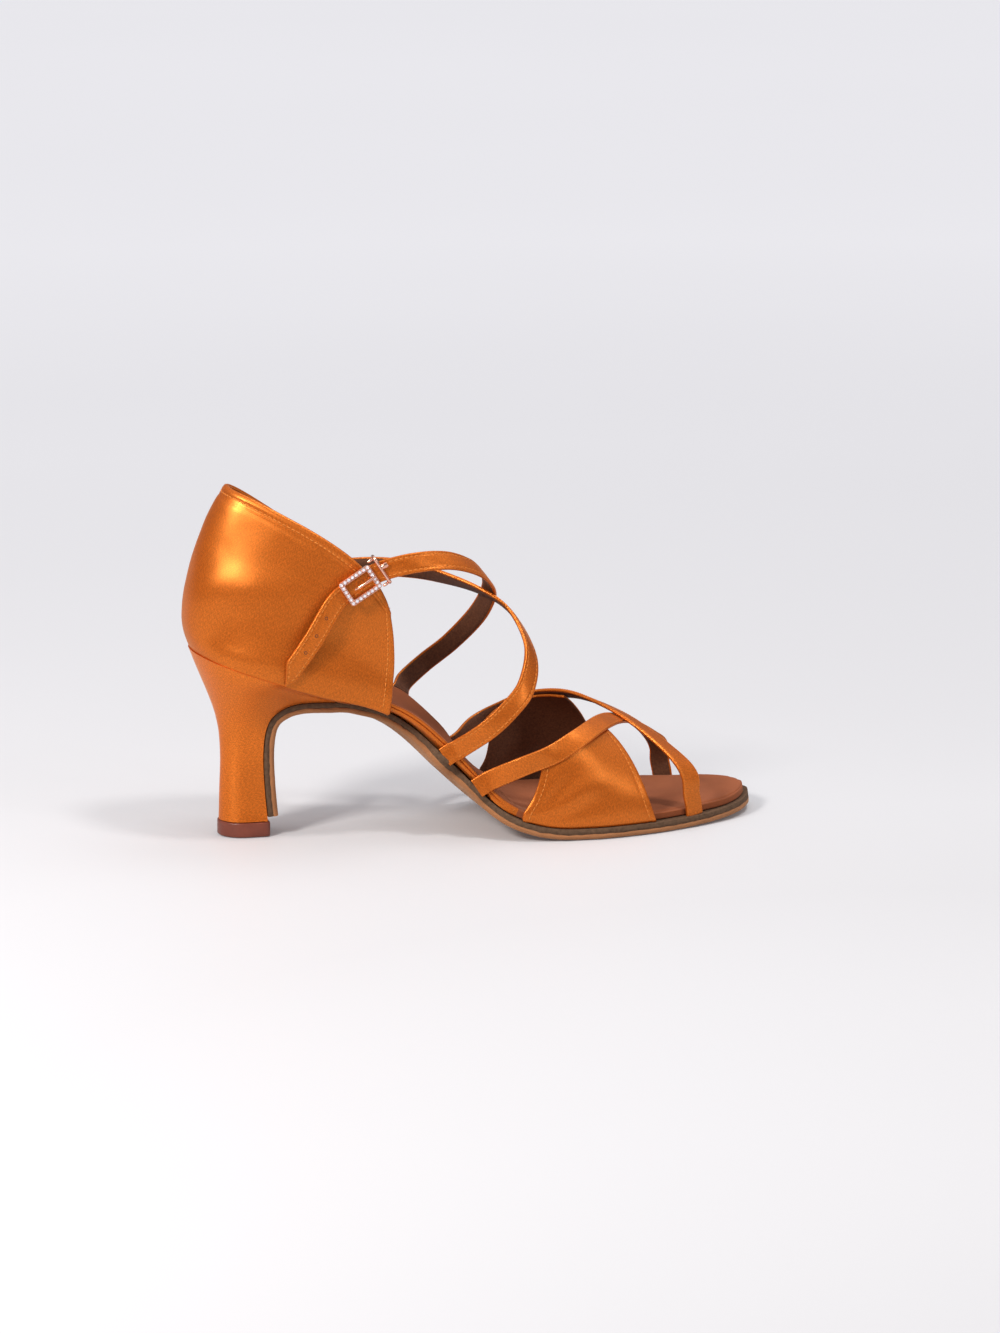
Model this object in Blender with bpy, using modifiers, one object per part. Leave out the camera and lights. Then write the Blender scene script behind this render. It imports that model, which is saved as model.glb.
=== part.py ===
"""Right foot Latin dance sandal, standing empty on its sole and heel tip.

Lengths in the tables are millimetres. X runs forward from the back of the seat, Y to the inner (medial) side, Z up.
Every piece is placed on the last: a profile line that runs from the seat down the arch to the ball and toe, given by
its slope, and an outline given by half widths at distances s along that profile.
"""

import math

import bmesh
import bpy
import numpy as np
from mathutils import Vector

MM = 0.001

# ---------------------------------------------------------------- driving dimensions, mm
HEEL_HEIGHT = 75.2  # seat back above the floor
SOLE_LENGTH = 245.0  # along the profile, seat back to toe tip
SOLE_THICK = 4.2
GAP = 0.3
WALL_COUNTER = 1.8
WALL_PANEL = 1.5
STRAP_WIDTH = 8.0
STRAP_THICK = 1.4
TUCK_DEPTH, TUCK_PAST = 0.1, 0.6  # a panel's top lies this deep in its strap and this far past its middle
INSET = WALL_COUNTER + GAP + 0.3  # insole edge inside the upper's outer face
CAP_HEIGHT = 5.7
FLAP_END = 7.4  # height where the sole's heel flap stops
BUCKLE_LENGTH, BUCKLE_WIDTH, BUCKLE_BAR, BUCKLE_THICK = 14.2, 10.8, 2.0, 1.4
CENTRE_X, CENTRE_Y = 112.01, 0.25  # middle of the shoe's box, moved to the origin


def table(names, rows):
    return {n: np.array([r[i] for r in rows], float) for i, n in enumerate(names)}


def smooth(xs, ys, x):
    """Monotone cubic through the rows of a table column."""
    x = min(max(x, xs[0]), xs[-1])
    h, d = np.diff(xs), np.diff(ys) / np.diff(xs)
    i = int(min(max(np.searchsorted(xs, x) - 1, 0), len(h) - 1))

    def slope(k):
        if k == 0:
            return d[0]
        if k == len(xs) - 1:
            return d[-1]
        if d[k - 1] * d[k] <= 0:
            return 0.0
        a, b = 2 * h[k] + h[k - 1], h[k] + 2 * h[k - 1]
        return (a + b) / (a / d[k - 1] + b / d[k])

    t = (x - xs[i]) / h[i]
    m0, m1 = slope(i) * h[i], slope(i + 1) * h[i]
    return float(
        (2 * t**3 - 3 * t**2 + 1) * ys[i] + (t**3 - 2 * t**2 + t) * m0
        + (-2 * t**3 + 3 * t**2) * ys[i + 1] + (t**3 - t**2) * m1
    )


def at(tab, key, name, x):
    return smooth(tab[key], tab[name], x)


def step(a, b, x):
    t = min(max((x - a) / (b - a), 0.0), 1.0)
    return t * t * (3 - 2 * t)


def spline(points, count):
    """Catmull-Rom through the points, resampled at even arc length. Extra columns ride along."""
    p = np.array(points, float)
    q = np.vstack([2 * p[0] - p[1], p, 2 * p[-1] - p[-2]])
    out = []
    for i in range(1, len(q) - 2):
        a, b, c, d = q[i - 1], q[i], q[i + 1], q[i + 2]
        for t in np.linspace(0, 1, 24, endpoint=False):
            out.append(0.5 * (2 * b + (c - a) * t + (2 * a - 5 * b + 4 * c - d) * t * t + (3 * b - a - 3 * c + d) * t**3))
    out.append(p[-1])
    out = np.array(out)
    run = np.concatenate([[0], np.cumsum(np.linalg.norm(np.diff(out[:, :3], axis=0), axis=1))])
    even = np.linspace(0, run[-1], count)
    return np.stack([np.interp(even, run, out[:, k]) for k in range(out.shape[1])], axis=1)


# ---------------------------------------------------------------- profile of the last
SLOPE = table(("s", "down"), [
    (0, 18.3), (60, 18.3), (70, 21), (80, 28), (90, 36), (100, 41), (112, 42.5), (124, 40),
    (134, 32), (144, 21), (154, 10), (163, 2), (170, 0), (204, 0), (214, -1.5), (230, -4.5), (250, -8),
])
S_STEP = 0.5
S_ALL = np.arange(0, SOLE_LENGTH + 6, S_STEP)


def profile_line(gain):
    """x and z along the profile when the arch part of the slope table is multiplied by gain."""
    down = np.array([at(SLOPE, "s", "down", s) * (gain if 60 < s < 170 else 1.0) for s in S_ALL + S_STEP / 2])
    a = np.radians(down)
    x = np.concatenate([[0], np.cumsum(np.cos(a) * S_STEP)])[:-1]
    z = HEEL_HEIGHT - np.concatenate([[0], np.cumsum(np.sin(a) * S_STEP)])[:-1]
    return x, z


def arch_gain():
    """The gain that brings the ball down onto the sole's thickness."""
    low, high = 0.7, 1.4
    for _ in range(40):
        mid = (low + high) / 2
        z = profile_line(mid)[1]
        low, high = (mid, high) if z[int(185 / S_STEP)] > SOLE_THICK + GAP else (low, mid)
    return (low + high) / 2


PX, PZ = profile_line(arch_gain())
BALL_Z = SOLE_THICK + GAP
PZ = np.where((S_ALL >= 169.9) & (S_ALL <= 204.1), BALL_Z, PZ)


def xz(s):
    return float(np.interp(s, S_ALL, PX)), float(np.interp(s, S_ALL, PZ))


def normal_of(s):
    (x0, z0), (x1, z1) = xz(s - 1.0), xz(s + 1.0)
    length = math.hypot(x1 - x0, z1 - z0)
    return (z0 - z1) / length, (x1 - x0) / length


def on_last(s, y, n):
    """Point at distance s along the profile, y across and n above it."""
    (x, z), (nx, nz) = xz(s), normal_of(s)
    return Vector((x + n * nx, y, z + n * nz))


# ---------------------------------------------------------------- outline of the last
OUTLINE = table(("s", "lateral", "medial"), [
    (0, 3.5, 3.5), (1, 8.6, 8.6), (2.6, 12.6, 12.6), (5, 17, 17), (10, 22.2, 22.2), (20, 27, 27), (35, 28.8, 28.6),
    (50, 28, 27.6), (65, 26.6, 25.2), (80, 25.5, 22.4), (95, 26, 20.8), (110, 28.5, 21.4), (125, 32, 25), (140, 36, 31),
    (155, 39, 36.2), (165, 40, 39), (175, 40, 40.5), (185, 38.5, 40.5), (200, 34.5, 39), (215, 28, 35.5),
    (225, 22.6, 31.6), (232, 18, 28), (238, 12.2, 23), (242, 6, 17.6), (244, 1.2, 13), (245, -3.2, 9),
])
EDGE_STATIONS = [0, 0.8, 2.0, 4.0, 7.0, 11.5, 17, 24] + list(range(32, 80, 6)) + list(range(80, 162, 5)) + [
    167, 170, 178, 187, 196, 204, 210, 216, 221, 226, 230, 234, 237.5, 240.5, 243, 245]
SIDES = {"lateral": -1.0, "medial": 1.0}


def edge(s, side, inset):
    """The outline's point at s, moved square to the outline by inset (inward)."""
    sign = SIDES[side]
    half = at(OUTLINE, "s", side, s)
    lean = (at(OUTLINE, "s", side, min(s + 0.4, 245)) - at(OUTLINE, "s", side, max(s - 0.4, 0))) / (
        min(s + 0.4, 245) - max(s - 0.4, 0))
    size = math.hypot(1, lean)
    return s + inset * lean / size, sign * (half - inset / size)


def cup(s):
    """How far the last's bottom edge curls up above its middle line."""
    return 0.2 + 1.4 * step(50, 76, s) * (1 - step(105, 140, s))


# ---------------------------------------------------------------- line of the sole, on under the heel breast
BREAST = [(60.5, 54.35), (52, 54.6), (44, 54.3), (38.6, 53.2), (34.2, 51.0), (30.6, 47.6), (28.6, 43.2),
          (27.6, 37), (27.4, 30), (27.7, 22), (28.2, 14.5), (29.0, 6.0)]
JOIN_S = 76.0


def sole_path():
    rear = spline([xz(84), xz(80), xz(JOIN_S)] + BREAST, 260)
    start = int(np.argmin(np.hypot(rear[:, 0] - xz(JOIN_S)[0], rear[:, 1] - xz(JOIN_S)[1])))
    rear = rear[start + 1:]
    front = np.array([xz(s) for s in S_ALL if s >= JOIN_S])
    run = np.cumsum(np.hypot(*np.diff(np.vstack([[xz(JOIN_S)], rear]), axis=0).T))
    t = np.concatenate([JOIN_S - run[::-1], [s for s in S_ALL if s >= JOIN_S]])
    return t, np.vstack([rear[::-1], front])


PATH_T, PATH_XZ = sole_path()
PATH_START = float(PATH_T[0])


def path_xz(t):
    return float(np.interp(t, PATH_T, PATH_XZ[:, 0])), float(np.interp(t, PATH_T, PATH_XZ[:, 1]))


def on_path(t, y, n):
    """Like on_last, on the line that leaves the seat and goes down the heel breast."""
    (x0, z0), (x1, z1), (x, z) = path_xz(t - 0.8), path_xz(t + 0.8), path_xz(t)
    length = math.hypot(x1 - x0, z1 - z0)
    if 170 <= t <= 204:
        return Vector((x, y, z + n))
    return Vector((x + n * (z0 - z1) / length, y, z + n * (x1 - x0) / length))


def path_at_height(height):
    """Where the path passes this height on the heel breast."""
    for t in np.arange(PATH_START, 30, 0.25):
        if path_xz(t)[1] >= height:
            return float(t)
    return PATH_START


# half widths of the sole where it is narrower than the outline
WAIST = table(("t", "lateral", "medial"), [
    (-20, 8.9, 8.9), (-6, 8.4, 8.4), (8, 8.2, 8.2), (22, 8.6, 8.6), (30, 9.6, 9.6), (38, 12.2, 12.2), (44, 14.2, 14.2),
    (52, 16.6, 16.6), (62, 18.2, 18.0), (76, 17.4, 16.8), (90, 17, 15.6), (99, 19, 15.6), (104, 23.4, 16.4),
    (110, 24.4, 17.6), (117, 24.2, 19.2), (125, 27.4, 22.4), (134, 32.4, 27), (143, 36.4, 32),
])


def curl(t):
    """How far the sole's edges rise above its middle in the waist."""
    return 1.5 * step(64, 86, t) * (1 - step(116, 142, t))


def sole_edge(t, side, inset=-1.0):
    """Edge of the outsole at path distance t: the outline in front, the narrow waist and flap behind."""
    k = step(132, 147, t)
    narrow = at(WAIST, "t", side, t) - inset - 1.0
    if k <= 0:
        return t, SIDES[side] * narrow
    s, y = edge(t, side, inset)
    return s, y * k + SIDES[side] * narrow * (1 - k)


# ---------------------------------------------------------------- mesh helpers
def clear_scene():
    for ob in list(bpy.data.objects):
        bpy.data.objects.remove(ob, do_unlink=True)


def collection(name):
    c = bpy.data.collections.new(name)
    bpy.context.scene.collection.children.link(c)
    return c


def material(name, colour, roughness, metallic=0.0):
    m = bpy.data.materials.new(name)
    m.use_nodes = True
    b = m.node_tree.nodes["Principled BSDF"]
    b.inputs["Base Color"].default_value = (*colour, 1)
    b.inputs["Roughness"].default_value = roughness
    b.inputs["Metallic"].default_value = metallic
    m.diffuse_color = (*colour, 1)
    return m


def new_object(name, mesh, coll, mat=None):
    ob = bpy.data.objects.new(name, mesh)
    coll.objects.link(ob)
    if mat:
        mesh.materials.append(mat)
    return ob


def mesh_from(name, verts, faces, flat=False):
    me = bpy.data.meshes.new(name)
    me.from_pydata([tuple(c * MM for c in v) for v in verts], [], faces)
    bm = bmesh.new()
    bm.from_mesh(me)
    bmesh.ops.recalc_face_normals(bm, faces=bm.faces)
    bm.to_mesh(me)
    bm.free()
    if not flat:
        me.shade_smooth()
        me.set_sharp_from_angle(angle=math.radians(40))
    return me


def loft(name, loops, ends=True):
    """A skin over closed loops of equal count, with a cap on each end."""
    n = len(loops[0])
    verts = [v for loop in loops for v in loop]
    faces = [(i * n + j, i * n + (j + 1) % n, (i + 1) * n + (j + 1) % n, (i + 1) * n + j)
             for i in range(len(loops) - 1) for j in range(n)]
    if ends:
        faces += [tuple(range(n - 1, -1, -1)), tuple((len(loops) - 1) * n + j for j in range(n))]
    return mesh_from(name, verts, faces)


def grid(name, rows):
    """An open sheet over rows of equal count."""
    n = len(rows[0])
    verts = [v for row in rows for v in row]
    faces = [(i * n + j, i * n + j + 1, (i + 1) * n + j + 1, (i + 1) * n + j)
             for i in range(len(rows) - 1) for j in range(n - 1)]
    me = bpy.data.meshes.new(name)
    me.from_pydata([tuple(c * MM for c in v) for v in verts], [], faces)
    me.shade_smooth()
    return me


def thicken(ob, wall, offset=-1.0):
    m = ob.modifiers.new("wall", "SOLIDIFY")
    m.thickness, m.offset = wall * MM, offset
    m.use_even_offset = True
    m.use_quality_normals = True
    return m


def boolean(ob, other, operation):
    m = ob.modifiers.new(operation.lower() + "_" + other.name, "BOOLEAN")
    m.operation, m.object, m.solver = operation, other, "EXACT"
    return m


def as_guide(ob):
    ob.hide_render = True
    ob.display_type = "WIRE"
    return ob


# ---------------------------------------------------------------- sole, insole, heel
def outsole_mesh(name, grow=0.0):
    """The sole; grow makes the clearance body that the upper is trimmed with."""
    end = path_at_height(FLAP_END)
    ts = [end] + [t for t in np.arange(math.ceil(end) + 2, 26, 5.0)] + [float(t) for t in range(28, 76, 4)]
    ts += [float(t) for t in range(76, 136, 4)] + [t for t in EDGE_STATIONS if t >= 136]
    loops = []
    for t in ts:
        (sl, yl), (sm, ym) = sole_edge(t, "lateral", -1.0 - grow), sole_edge(t, "medial", -1.0 - grow)
        sc, yc, nip = (sl + sm) / 2, (yl + ym) / 2, min(0.9, (ym - yl) * 0.2)
        bulge = 2.2 * math.exp(-((t - 107.5) / 6.0) ** 2)
        top, low = -GAP + grow, -GAP - SOLE_THICK - grow
        c = curl(t)
        belly = 0.9 * step(48, 76, t) * (1 - step(116, 142, t))
        ring = [(sl, yl, top + c), (sc, yc + (yl - yc) * 0.5, top + c * 0.25), (sc, yc + (ym - yc) * 0.5, top + c * 0.25), (sm, ym, top + c),
                (sm, ym, low + 0.7 + c), (sm * 0.96 + sc * 0.04, ym - nip, low + c), (sc, yc + (ym - yc) * 0.5, low + c * 0.25 - belly),
                (sc, yc + (yl - yc) * 0.5, low + c * 0.25 - belly - bulge * 0.35), (sl * 0.96 + sc * 0.04, yl + nip, low + c - bulge * 0.6),
                (sl, yl, low + 0.7 + c - bulge)]
        loops.append([on_path(s, y, n) for s, y, n in ring])
    return loft(name, loops)


INSOLE_RISE = table(("s", "lateral", "middle", "medial"), [
    (0, 3.0, 2.6, 3.0), (60, 3.0, 2.6, 3.2), (78, 5.2, 3.2, 6.2), (92, 6.0, 3.6, 8.6), (108, 5.8, 3.6, 8.4),
    (122, 4.8, 3.2, 5.8), (138, 3.4, 2.8, 3.6), (152, 2.7, 2.6, 2.7), (245, 2.6, 2.6, 2.6),
])


def insole_inset(s):
    return INSET - 1.5 * step(219, 234, s)


def insole_mesh(name, grow=0.0):
    loops = []
    for s in EDGE_STATIONS:
        feet = {side: edge(s, side, insole_inset(s) - grow) for side in SIDES}
        cs, cy = ((feet["lateral"][i] + feet["medial"][i]) / 2 for i in (0, 1))
        width = feet["medial"][1] - feet["lateral"][1]
        mid = at(INSOLE_RISE, "s", "middle", s) + grow
        boat = step(60, 78, s) * (1 - step(120, 142, s))
        ring = []
        for side, sign in SIDES.items():
            se, ye = feet[side]
            rise = at(INSOLE_RISE, "s", side, s) + grow
            nip = min(0.6, width * 0.15)
            low = ye - sign * min(0.35, width * 0.1)
            if boat > 0:
                low += (sole_edge(max(s, JOIN_S), side)[1] + sign * 0.3 - low) * boat
            lift = 0.35 + boat * (0.3 * rise + 1.0)
            c = curl(s) * 1.25
            points = [(se * 0.5 + cs * 0.5, cy + (low - cy) * 0.5, c * 0.3 + 0.1 * boat - grow), (se, low, c - grow),
                      (se, low * 0.45 + ye * 0.55, lift * 0.3 + c * 0.7 - grow), (se, ye, lift - grow), (se, ye, rise - 0.7),
                      (se, ye - sign * nip, rise), (se * 0.7 + cs * 0.3, cy + (ye - cy) * 0.72, mid * 0.45 + rise * 0.55),
                      (se * 0.35 + cs * 0.65, cy + (ye - cy) * 0.36, mid * 0.88 + rise * 0.12)]
            ring += points if side == "lateral" else points[::-1]
        loops.append([on_last(*p) for p in ring])
    return loft(name, loops)


# heel sections: front_t is where the section meets the sole's path
HEEL = table(("front_t", "back_x", "back_z", "half", "seat"), [
    (-16.9, 10.9, 6.0, 9.2, 0.0), (-6, 11.2, 17, 8.5, 0.0), (8, 11.7, 30, 8.1, 0.0), (17, 11.4, 39, 8.5, 0.0), (24, 10.0, 47.5, 10.4, 0.02),
    (31, 7.3, 55.8, 14.6, 0.1), (38.5, 4.6, 62.6, 19.6, 0.28), (47, 2.3, 68.4, 24.2, 0.56), (58, 0.8, 72.4, 27.6, 0.86),
])
SEAT_FRONT = 62.0


def heel_mesh(name):
    k = 13
    taus = [(1 - math.cos(math.pi * i / (k - 1) * 0.5)) ** 1.15 for i in range(k)]
    seat = [(at(OUTLINE, "s", "lateral", SEAT_FRONT * u), at(OUTLINE, "s", "medial", SEAT_FRONT * u)) for u in taus]
    widest = max(a for a, _ in seat)
    loops = []
    rows = len(HEEL["front_t"])
    for r in np.linspace(0, rows - 1, 25):
        front_t = at({"i": np.arange(rows), **HEEL}, "i", "front_t", r)
        if r == 0:
            front_t = PATH_START
        bx, bz, half, w = (at({"i": np.arange(rows), **HEEL}, "i", c, r) for c in ("back_x", "back_z", "half", "seat"))
        fx, fz = path_xz(front_t)
        front_half = min(at(WAIST, "t", "lateral", front_t) + 0.25, half)
        loop = {-1: [], 1: []}
        for i, tau in enumerate(taus):
            d = half * (math.sqrt(max(0.0, 1 - (1 - tau / 0.52) ** 2)) if tau < 0.52 else 1 - (1 - front_half / half) * ((tau - 0.52) / 0.48) ** 2)
            for sign, col in ((-1, 0), (1, 1)):
                seat_y = half * seat[i][col] / widest
                seat_y -= (seat_y - front_half) * step(0.35, 1.0, tau) if tau > 0.35 else 0
                y = d * (1 - w) + seat_y * w
                loop[sign].append(Vector((bx + (fx - bx) * tau, sign * max(y, 0.5), bz + (fz - bz) * tau)))
        loops.append(loop[-1] + loop[1][::-1])
    top = {-1: [], 1: []}
    for tau in taus:
        for side, sign in SIDES.items():
            top[int(sign)].append(on_last(SEAT_FRONT * tau, sign * at(OUTLINE, "s", side, SEAT_FRONT * tau), -GAP))
    loops.append(top[-1] + top[1][::-1])
    return loft(name, loops)


def heel_tip_mesh(name):
    loops = []
    for z, back, front, half in ((0.0, 10.9, 29.6, 9.4), (0.5, 10.5, 29.9, 9.8), (CAP_HEIGHT - 0.4, 10.4, 29.9, 9.8), (CAP_HEIGHT, 10.7, 29.6, 9.5)):
        side = []
        for i in range(12):
            a = math.pi * 0.5 * i / 11
            side.append((back + half * (1 - math.cos(a)), half * math.sin(a)))
        side += [(front - 2.4, half * 0.985), (front - 0.8, half * 0.95), (front, half * 0.86)]
        loops.append([Vector((x, -max(y, 0.2), z)) for x, y in side] + [Vector((x, max(y, 0.2), z)) for x, y in side[::-1]])
    return loft(name, loops)


# ---------------------------------------------------------------- counter
TOPLINE = table(("back", "x", "y", "z"), [
    (0, 14.5, 0, 138.6), (0.09, 15.5, 6.0, 138.2), (0.17, 18.6, 10.6, 137.0), (0.26, 24, 14.2, 134.4), (0.38, 33, 18.2, 129.6),
    (0.50, 43, 21.2, 124.0), (0.61, 52, 23.4, 118.2), (0.72, 60, 25.0, 112.0), (0.83, 66.7, 26.0, 105.0), (0.92, 71.4, 26.4, 98.4), (1, 73.8, 26.4, 92.5),
])
BACK_BULGE = table(("up", "out"), [(0, 0), (0.1, 3.4), (0.2, 5.6), (0.35, 6.8), (0.52, 6.7), (0.75, 4.9), (0.9, 2.5), (1, 0)])
SIDE_BULGE = table(("up", "heel", "front"), [(0, 0, 0), (0.15, 1.5, 0.3), (0.35, 1.7, -0.9), (0.6, 0.6, -0.8), (0.85, 0.0, -0.2), (1, 0, 0)])
COUNTER_FRONT = {"lateral": 78.0, "medial": 64.5}
MEDIAL_SHORT = 0.785  # the medial wing of the counter is this much of the lateral one


def counter_point(side, back, up):
    """back runs from 0 at the middle of the back to 1 at the front edge, up from the seat seam to the top edge."""
    sign = SIDES[side]
    s = COUNTER_FRONT[side] * (0.03 * back + 0.97 * back**1.55)
    se, ye = edge(s, side, 0.0)
    if back == 0:
        ye = 0.0
    low = on_last(se, ye, cup(s) - 0.2)
    top = Vector((at(TOPLINE, "back", "x", back), sign * at(TOPLINE, "back", "y", back), at(TOPLINE, "back", "z", back)))
    if side == "medial":
        top.x += (MEDIAL_SHORT - 1) * (top.x - at(TOPLINE, "back", "x", 0))
    p = low.lerp(top, up)
    rear = max(0.0, 1 - (back / 0.66) ** 2) ** 1.2
    p.x -= at(BACK_BULGE, "up", "out", up) * rear
    w = step(0.15, 0.45, back)
    f = step(0.45, 0.85, back)
    p.y += sign * w * (at(SIDE_BULGE, "up", "heel", up) * (1 - f) + at(SIDE_BULGE, "up", "front", up) * f)
    p.x += 2.0 * step(0.6, 1.0, back) * math.sin(math.pi * min(up * 0.95, 1.0)) ** 1.2
    return p


def counter_mesh(name, across=17, high=12):
    ups = [i / high for i in range(high + 1)]
    order = [("lateral", 1 - i / across) for i in range(across)] + [("medial", i / across) for i in range(across + 1)]
    return grid(name, [[counter_point(side, back, up) for up in ups] for side, back in order])


def counter_y(side, x, z):
    """Half width of the counter's outer face at this place on its side."""
    best = None
    for back in np.linspace(0.35, 1, 40):
        for up in np.linspace(0, 1, 40):
            p = counter_point(side, float(back), float(up))
            d = (p.x - x) ** 2 + (p.z - z) ** 2
            if best is None or d < best[0]:
                best = (d, abs(p.y))
    return best[1]


# ---------------------------------------------------------------- straps
FOOT = table(("x", "top", "half"), [
    (0, 150, 27), (40, 148, 27), (65, 146, 27), (75, 142, 27.5), (85, 126, 28), (95, 108, 29), (105, 93, 30), (120, 76, 33),
    (135, 60, 36), (150, 48.5, 39), (165, 40.5, 41), (190, 31, 41), (215, 24, 36), (240, 20, 30),
])


def foot_field(p):
    """Below 1 inside the foot, above 1 outside: an ellipse across at each x."""
    low = float(np.interp(p[0], PX, PZ)) + 2
    top, half = at(FOOT, "x", "top", p[0]), at(FOOT, "x", "half", p[0])
    mid, h = (low + top) / 2, (top - low) / 2
    return ((p[1] - 0.5) / half) ** 2 + ((p[2] - mid) / h) ** 2


def foot_normal(p):
    g = []
    for k in range(3):
        a, b = list(p), list(p)
        a[k] -= 0.5
        b[k] += 0.5
        g.append(foot_field(b) - foot_field(a))
    return Vector(g).normalized()


def strap_frames(rows, count):
    """Points, directions and outward normals along a strap; the last column lifts it off the foot."""
    pts = spline(rows, count)
    centre = [Vector(p[:3]) for p in pts]
    normals = [foot_normal(p) for p in centre]
    centre = [c + n * p[3] for c, n, p in zip(centre, normals, pts)]
    frames = []
    for i, c in enumerate(centre):
        t = (centre[min(i + 1, count - 1)] - centre[max(i - 1, 0)]).normalized()
        n = (normals[i] - t * normals[i].dot(t)).normalized()
        frames.append((c, t, n, t.cross(n)))
    return frames


def strap_mesh(name, rows, count, width=STRAP_WIDTH, thick=STRAP_THICK, point=0.0):
    """A flat strap; point is the length over which its last end tapers."""
    frames = strap_frames(rows, count)
    run = [0.0]
    for (a, *_), (b, *_) in zip(frames, frames[1:]):
        run.append(run[-1] + (b - a).length)
    loops = []
    for (c, t, n, w), r in zip(frames, run):
        k = 1.0
        if point and run[-1] - r < point:
            k = max(0.12, (run[-1] - r) / point)
        h, d = width / 2 * k, thick / 2
        e = min(0.35, h * 0.3)
        loops.append([c + w * u + n * v for u, v in
                      ((-h, -d + e), (-h + e, -d), (h - e, -d), (h, -d + e), (h, d - e), (h - e, d), (-h + e, d), (-h, d - e))])
    return loft(name, loops)


def root(s, side, n, inset=0.85):
    """A strap's foot on the edge of the last."""
    se, ye = edge(s, side, inset)
    return tuple(on_last(se, ye, n)) + (0.0,)


STRAP_A = [root(106, "lateral", -2), root(107.5, "lateral", 4), (112, -33.2, 44, 0), (121, -33, 52, 0), (128.5, -28.5, 60, 0), (132.5, -17, 71.5, 0),
           (127.5, -5, 85, 0), (117, 4, 93, 0), (100, 17, 97.2, 0), (87, 24.2, 98.8, 0), (76, 25.0, 99.4, 0), (66, 23.8, 99.4, 0), (58, 21.6, 99, 0), (46, 19.6, 98.2, 0)]
STRAP_B_FOOT = [root(88, "medial", -2), root(89, "medial", 4), (91, 28, 52, 0), (99.5, 30.5, 58.5, 0), (109.5, 25, 68, 0), (117, 14, 80, 0.1),
                (118.5, 4, 90, 0.9), (115.5, -6, 98, 1.15), (109, -17.5, 105.6, 0.3), (98, -25.6, 110.6, 0), (84, -29.6, 111, 0)]
STRAP_C = [root(123, "lateral", -2), root(125, "lateral", 4), (127, -36, 26, 0), (138, -36, 34, 0), (150, -31.5, 39.6, 0), (161, -19, 42, 0), (171, -2, 39.6, 0),
           (182, 14.5, 33.6, 0), (193, 28.5, 24.5, 0), (199, 34.2, 14.5, 0), root(218.5, "medial", 4), root(219.5, "medial", -2)]
STRAP_D = [root(118, "medial", -2), root(120, "medial", 4), (121, 31, 28, 0), (131, 34.6, 36, 0), (144, 32.5, 42, 0), (157, 21.5, 44.2, 0.3), (169, 4.5, 41, 0.9),
           (179, -9.5, 35.4, 0.9), (190, -22, 27, 0.2), (197, -28.6, 17, 0), root(217, "lateral", 4), root(218, "lateral", -2)]

BUCKLE_AT = (62.4, 103.2)  # x and z of the frame's middle on the lateral counter
BUCKLE_RISE = 33.0  # degrees, the strap rises forward through the frame


def counter_side(x, z, out):
    """A point this far outside the lateral counter."""
    return (x, -(counter_y("lateral", x, z) + out), z, 0.0)


def strap_b_rows():
    """The long strap: over the instep, through the loop and the frame, and on down the counter to its free point."""
    c, s = math.cos(math.radians(BUCKLE_RISE)), math.sin(math.radians(BUCKLE_RISE))
    bx, bz = BUCKLE_AT
    rows = list(STRAP_B_FOOT)
    rows += [counter_side(bx + 11 * c, bz + 9.4 * s, 2.6), counter_side(bx + 4 * c, bz + 4 * s, 2.1), counter_side(bx - 4.5 * c, bz - 4.5 * s, 2.2),
             counter_side(bx - 12.0 * c, bz - 13.5 * s, 3.4), counter_side(43.6, 82.4, 3.4), counter_side(36.6, 72.8, 2.2)]
    x, z = 31.2, 65.4
    rows.append((x, -(at(OUTLINE, "s", "lateral", 32) + 1.7), z, 0.0))
    return rows


# ---------------------------------------------------------------- side panels of the vamp
def along(rows, fraction):
    """A point part of the way along a strap, its outward normal, and the direction across it that climbs the foot."""
    pts = spline(rows, 101)
    i = int(round(fraction * 100))
    p, q = Vector(pts[i][:3]), Vector(pts[i + 1][:3])
    n = foot_normal(p)
    across = (q - p).cross(n).normalized()
    return p, n, across if across.z > 0 else -across


PANEL = {  # s at the sole edge and fractions of the strap that its top is sewn under
    "lateral": {"strap": STRAP_C, "s": (146, 199), "f": (0.20, 0.44)},
    "medial": {"strap": STRAP_D, "s": (143, 197), "f": (0.19, 0.43)},
}


def panel_mesh(name, side, across=9, high=7):
    """A curved patch that leaves the sole edge upright and meets its strap flush from beneath."""
    spec = PANEL[side]
    rows = []
    for i in range(across + 1):
        u = i / across
        s = spec["s"][0] + (spec["s"][1] - spec["s"][0]) * u
        se, ye = edge(s, side, 0.0)
        low = on_last(se, ye, 0.0)
        top, n, up = along(spec["strap"], spec["f"][0] + (spec["f"][1] - spec["f"][0]) * u)
        top = top - n * TUCK_DEPTH + up * TUCK_PAST
        size = (top - low).length
        m0 = Vector(((top.x - low.x) * 0.7, SIDES[side] * size * 0.16, size * 0.9))
        m1 = up * size * (0.75 + 0.3 * u)
        row = []
        for j in range(high + 1):
            v = j / high
            row.append(low * (2 * v**3 - 3 * v**2 + 1) + m0 * (v**3 - 2 * v**2 + v) + top * (3 * v**2 - 2 * v**3) + m1 * (v**3 - v**2))
        rows.append(row if side == "medial" else row[::-1])
    return grid(name, rows)


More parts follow.
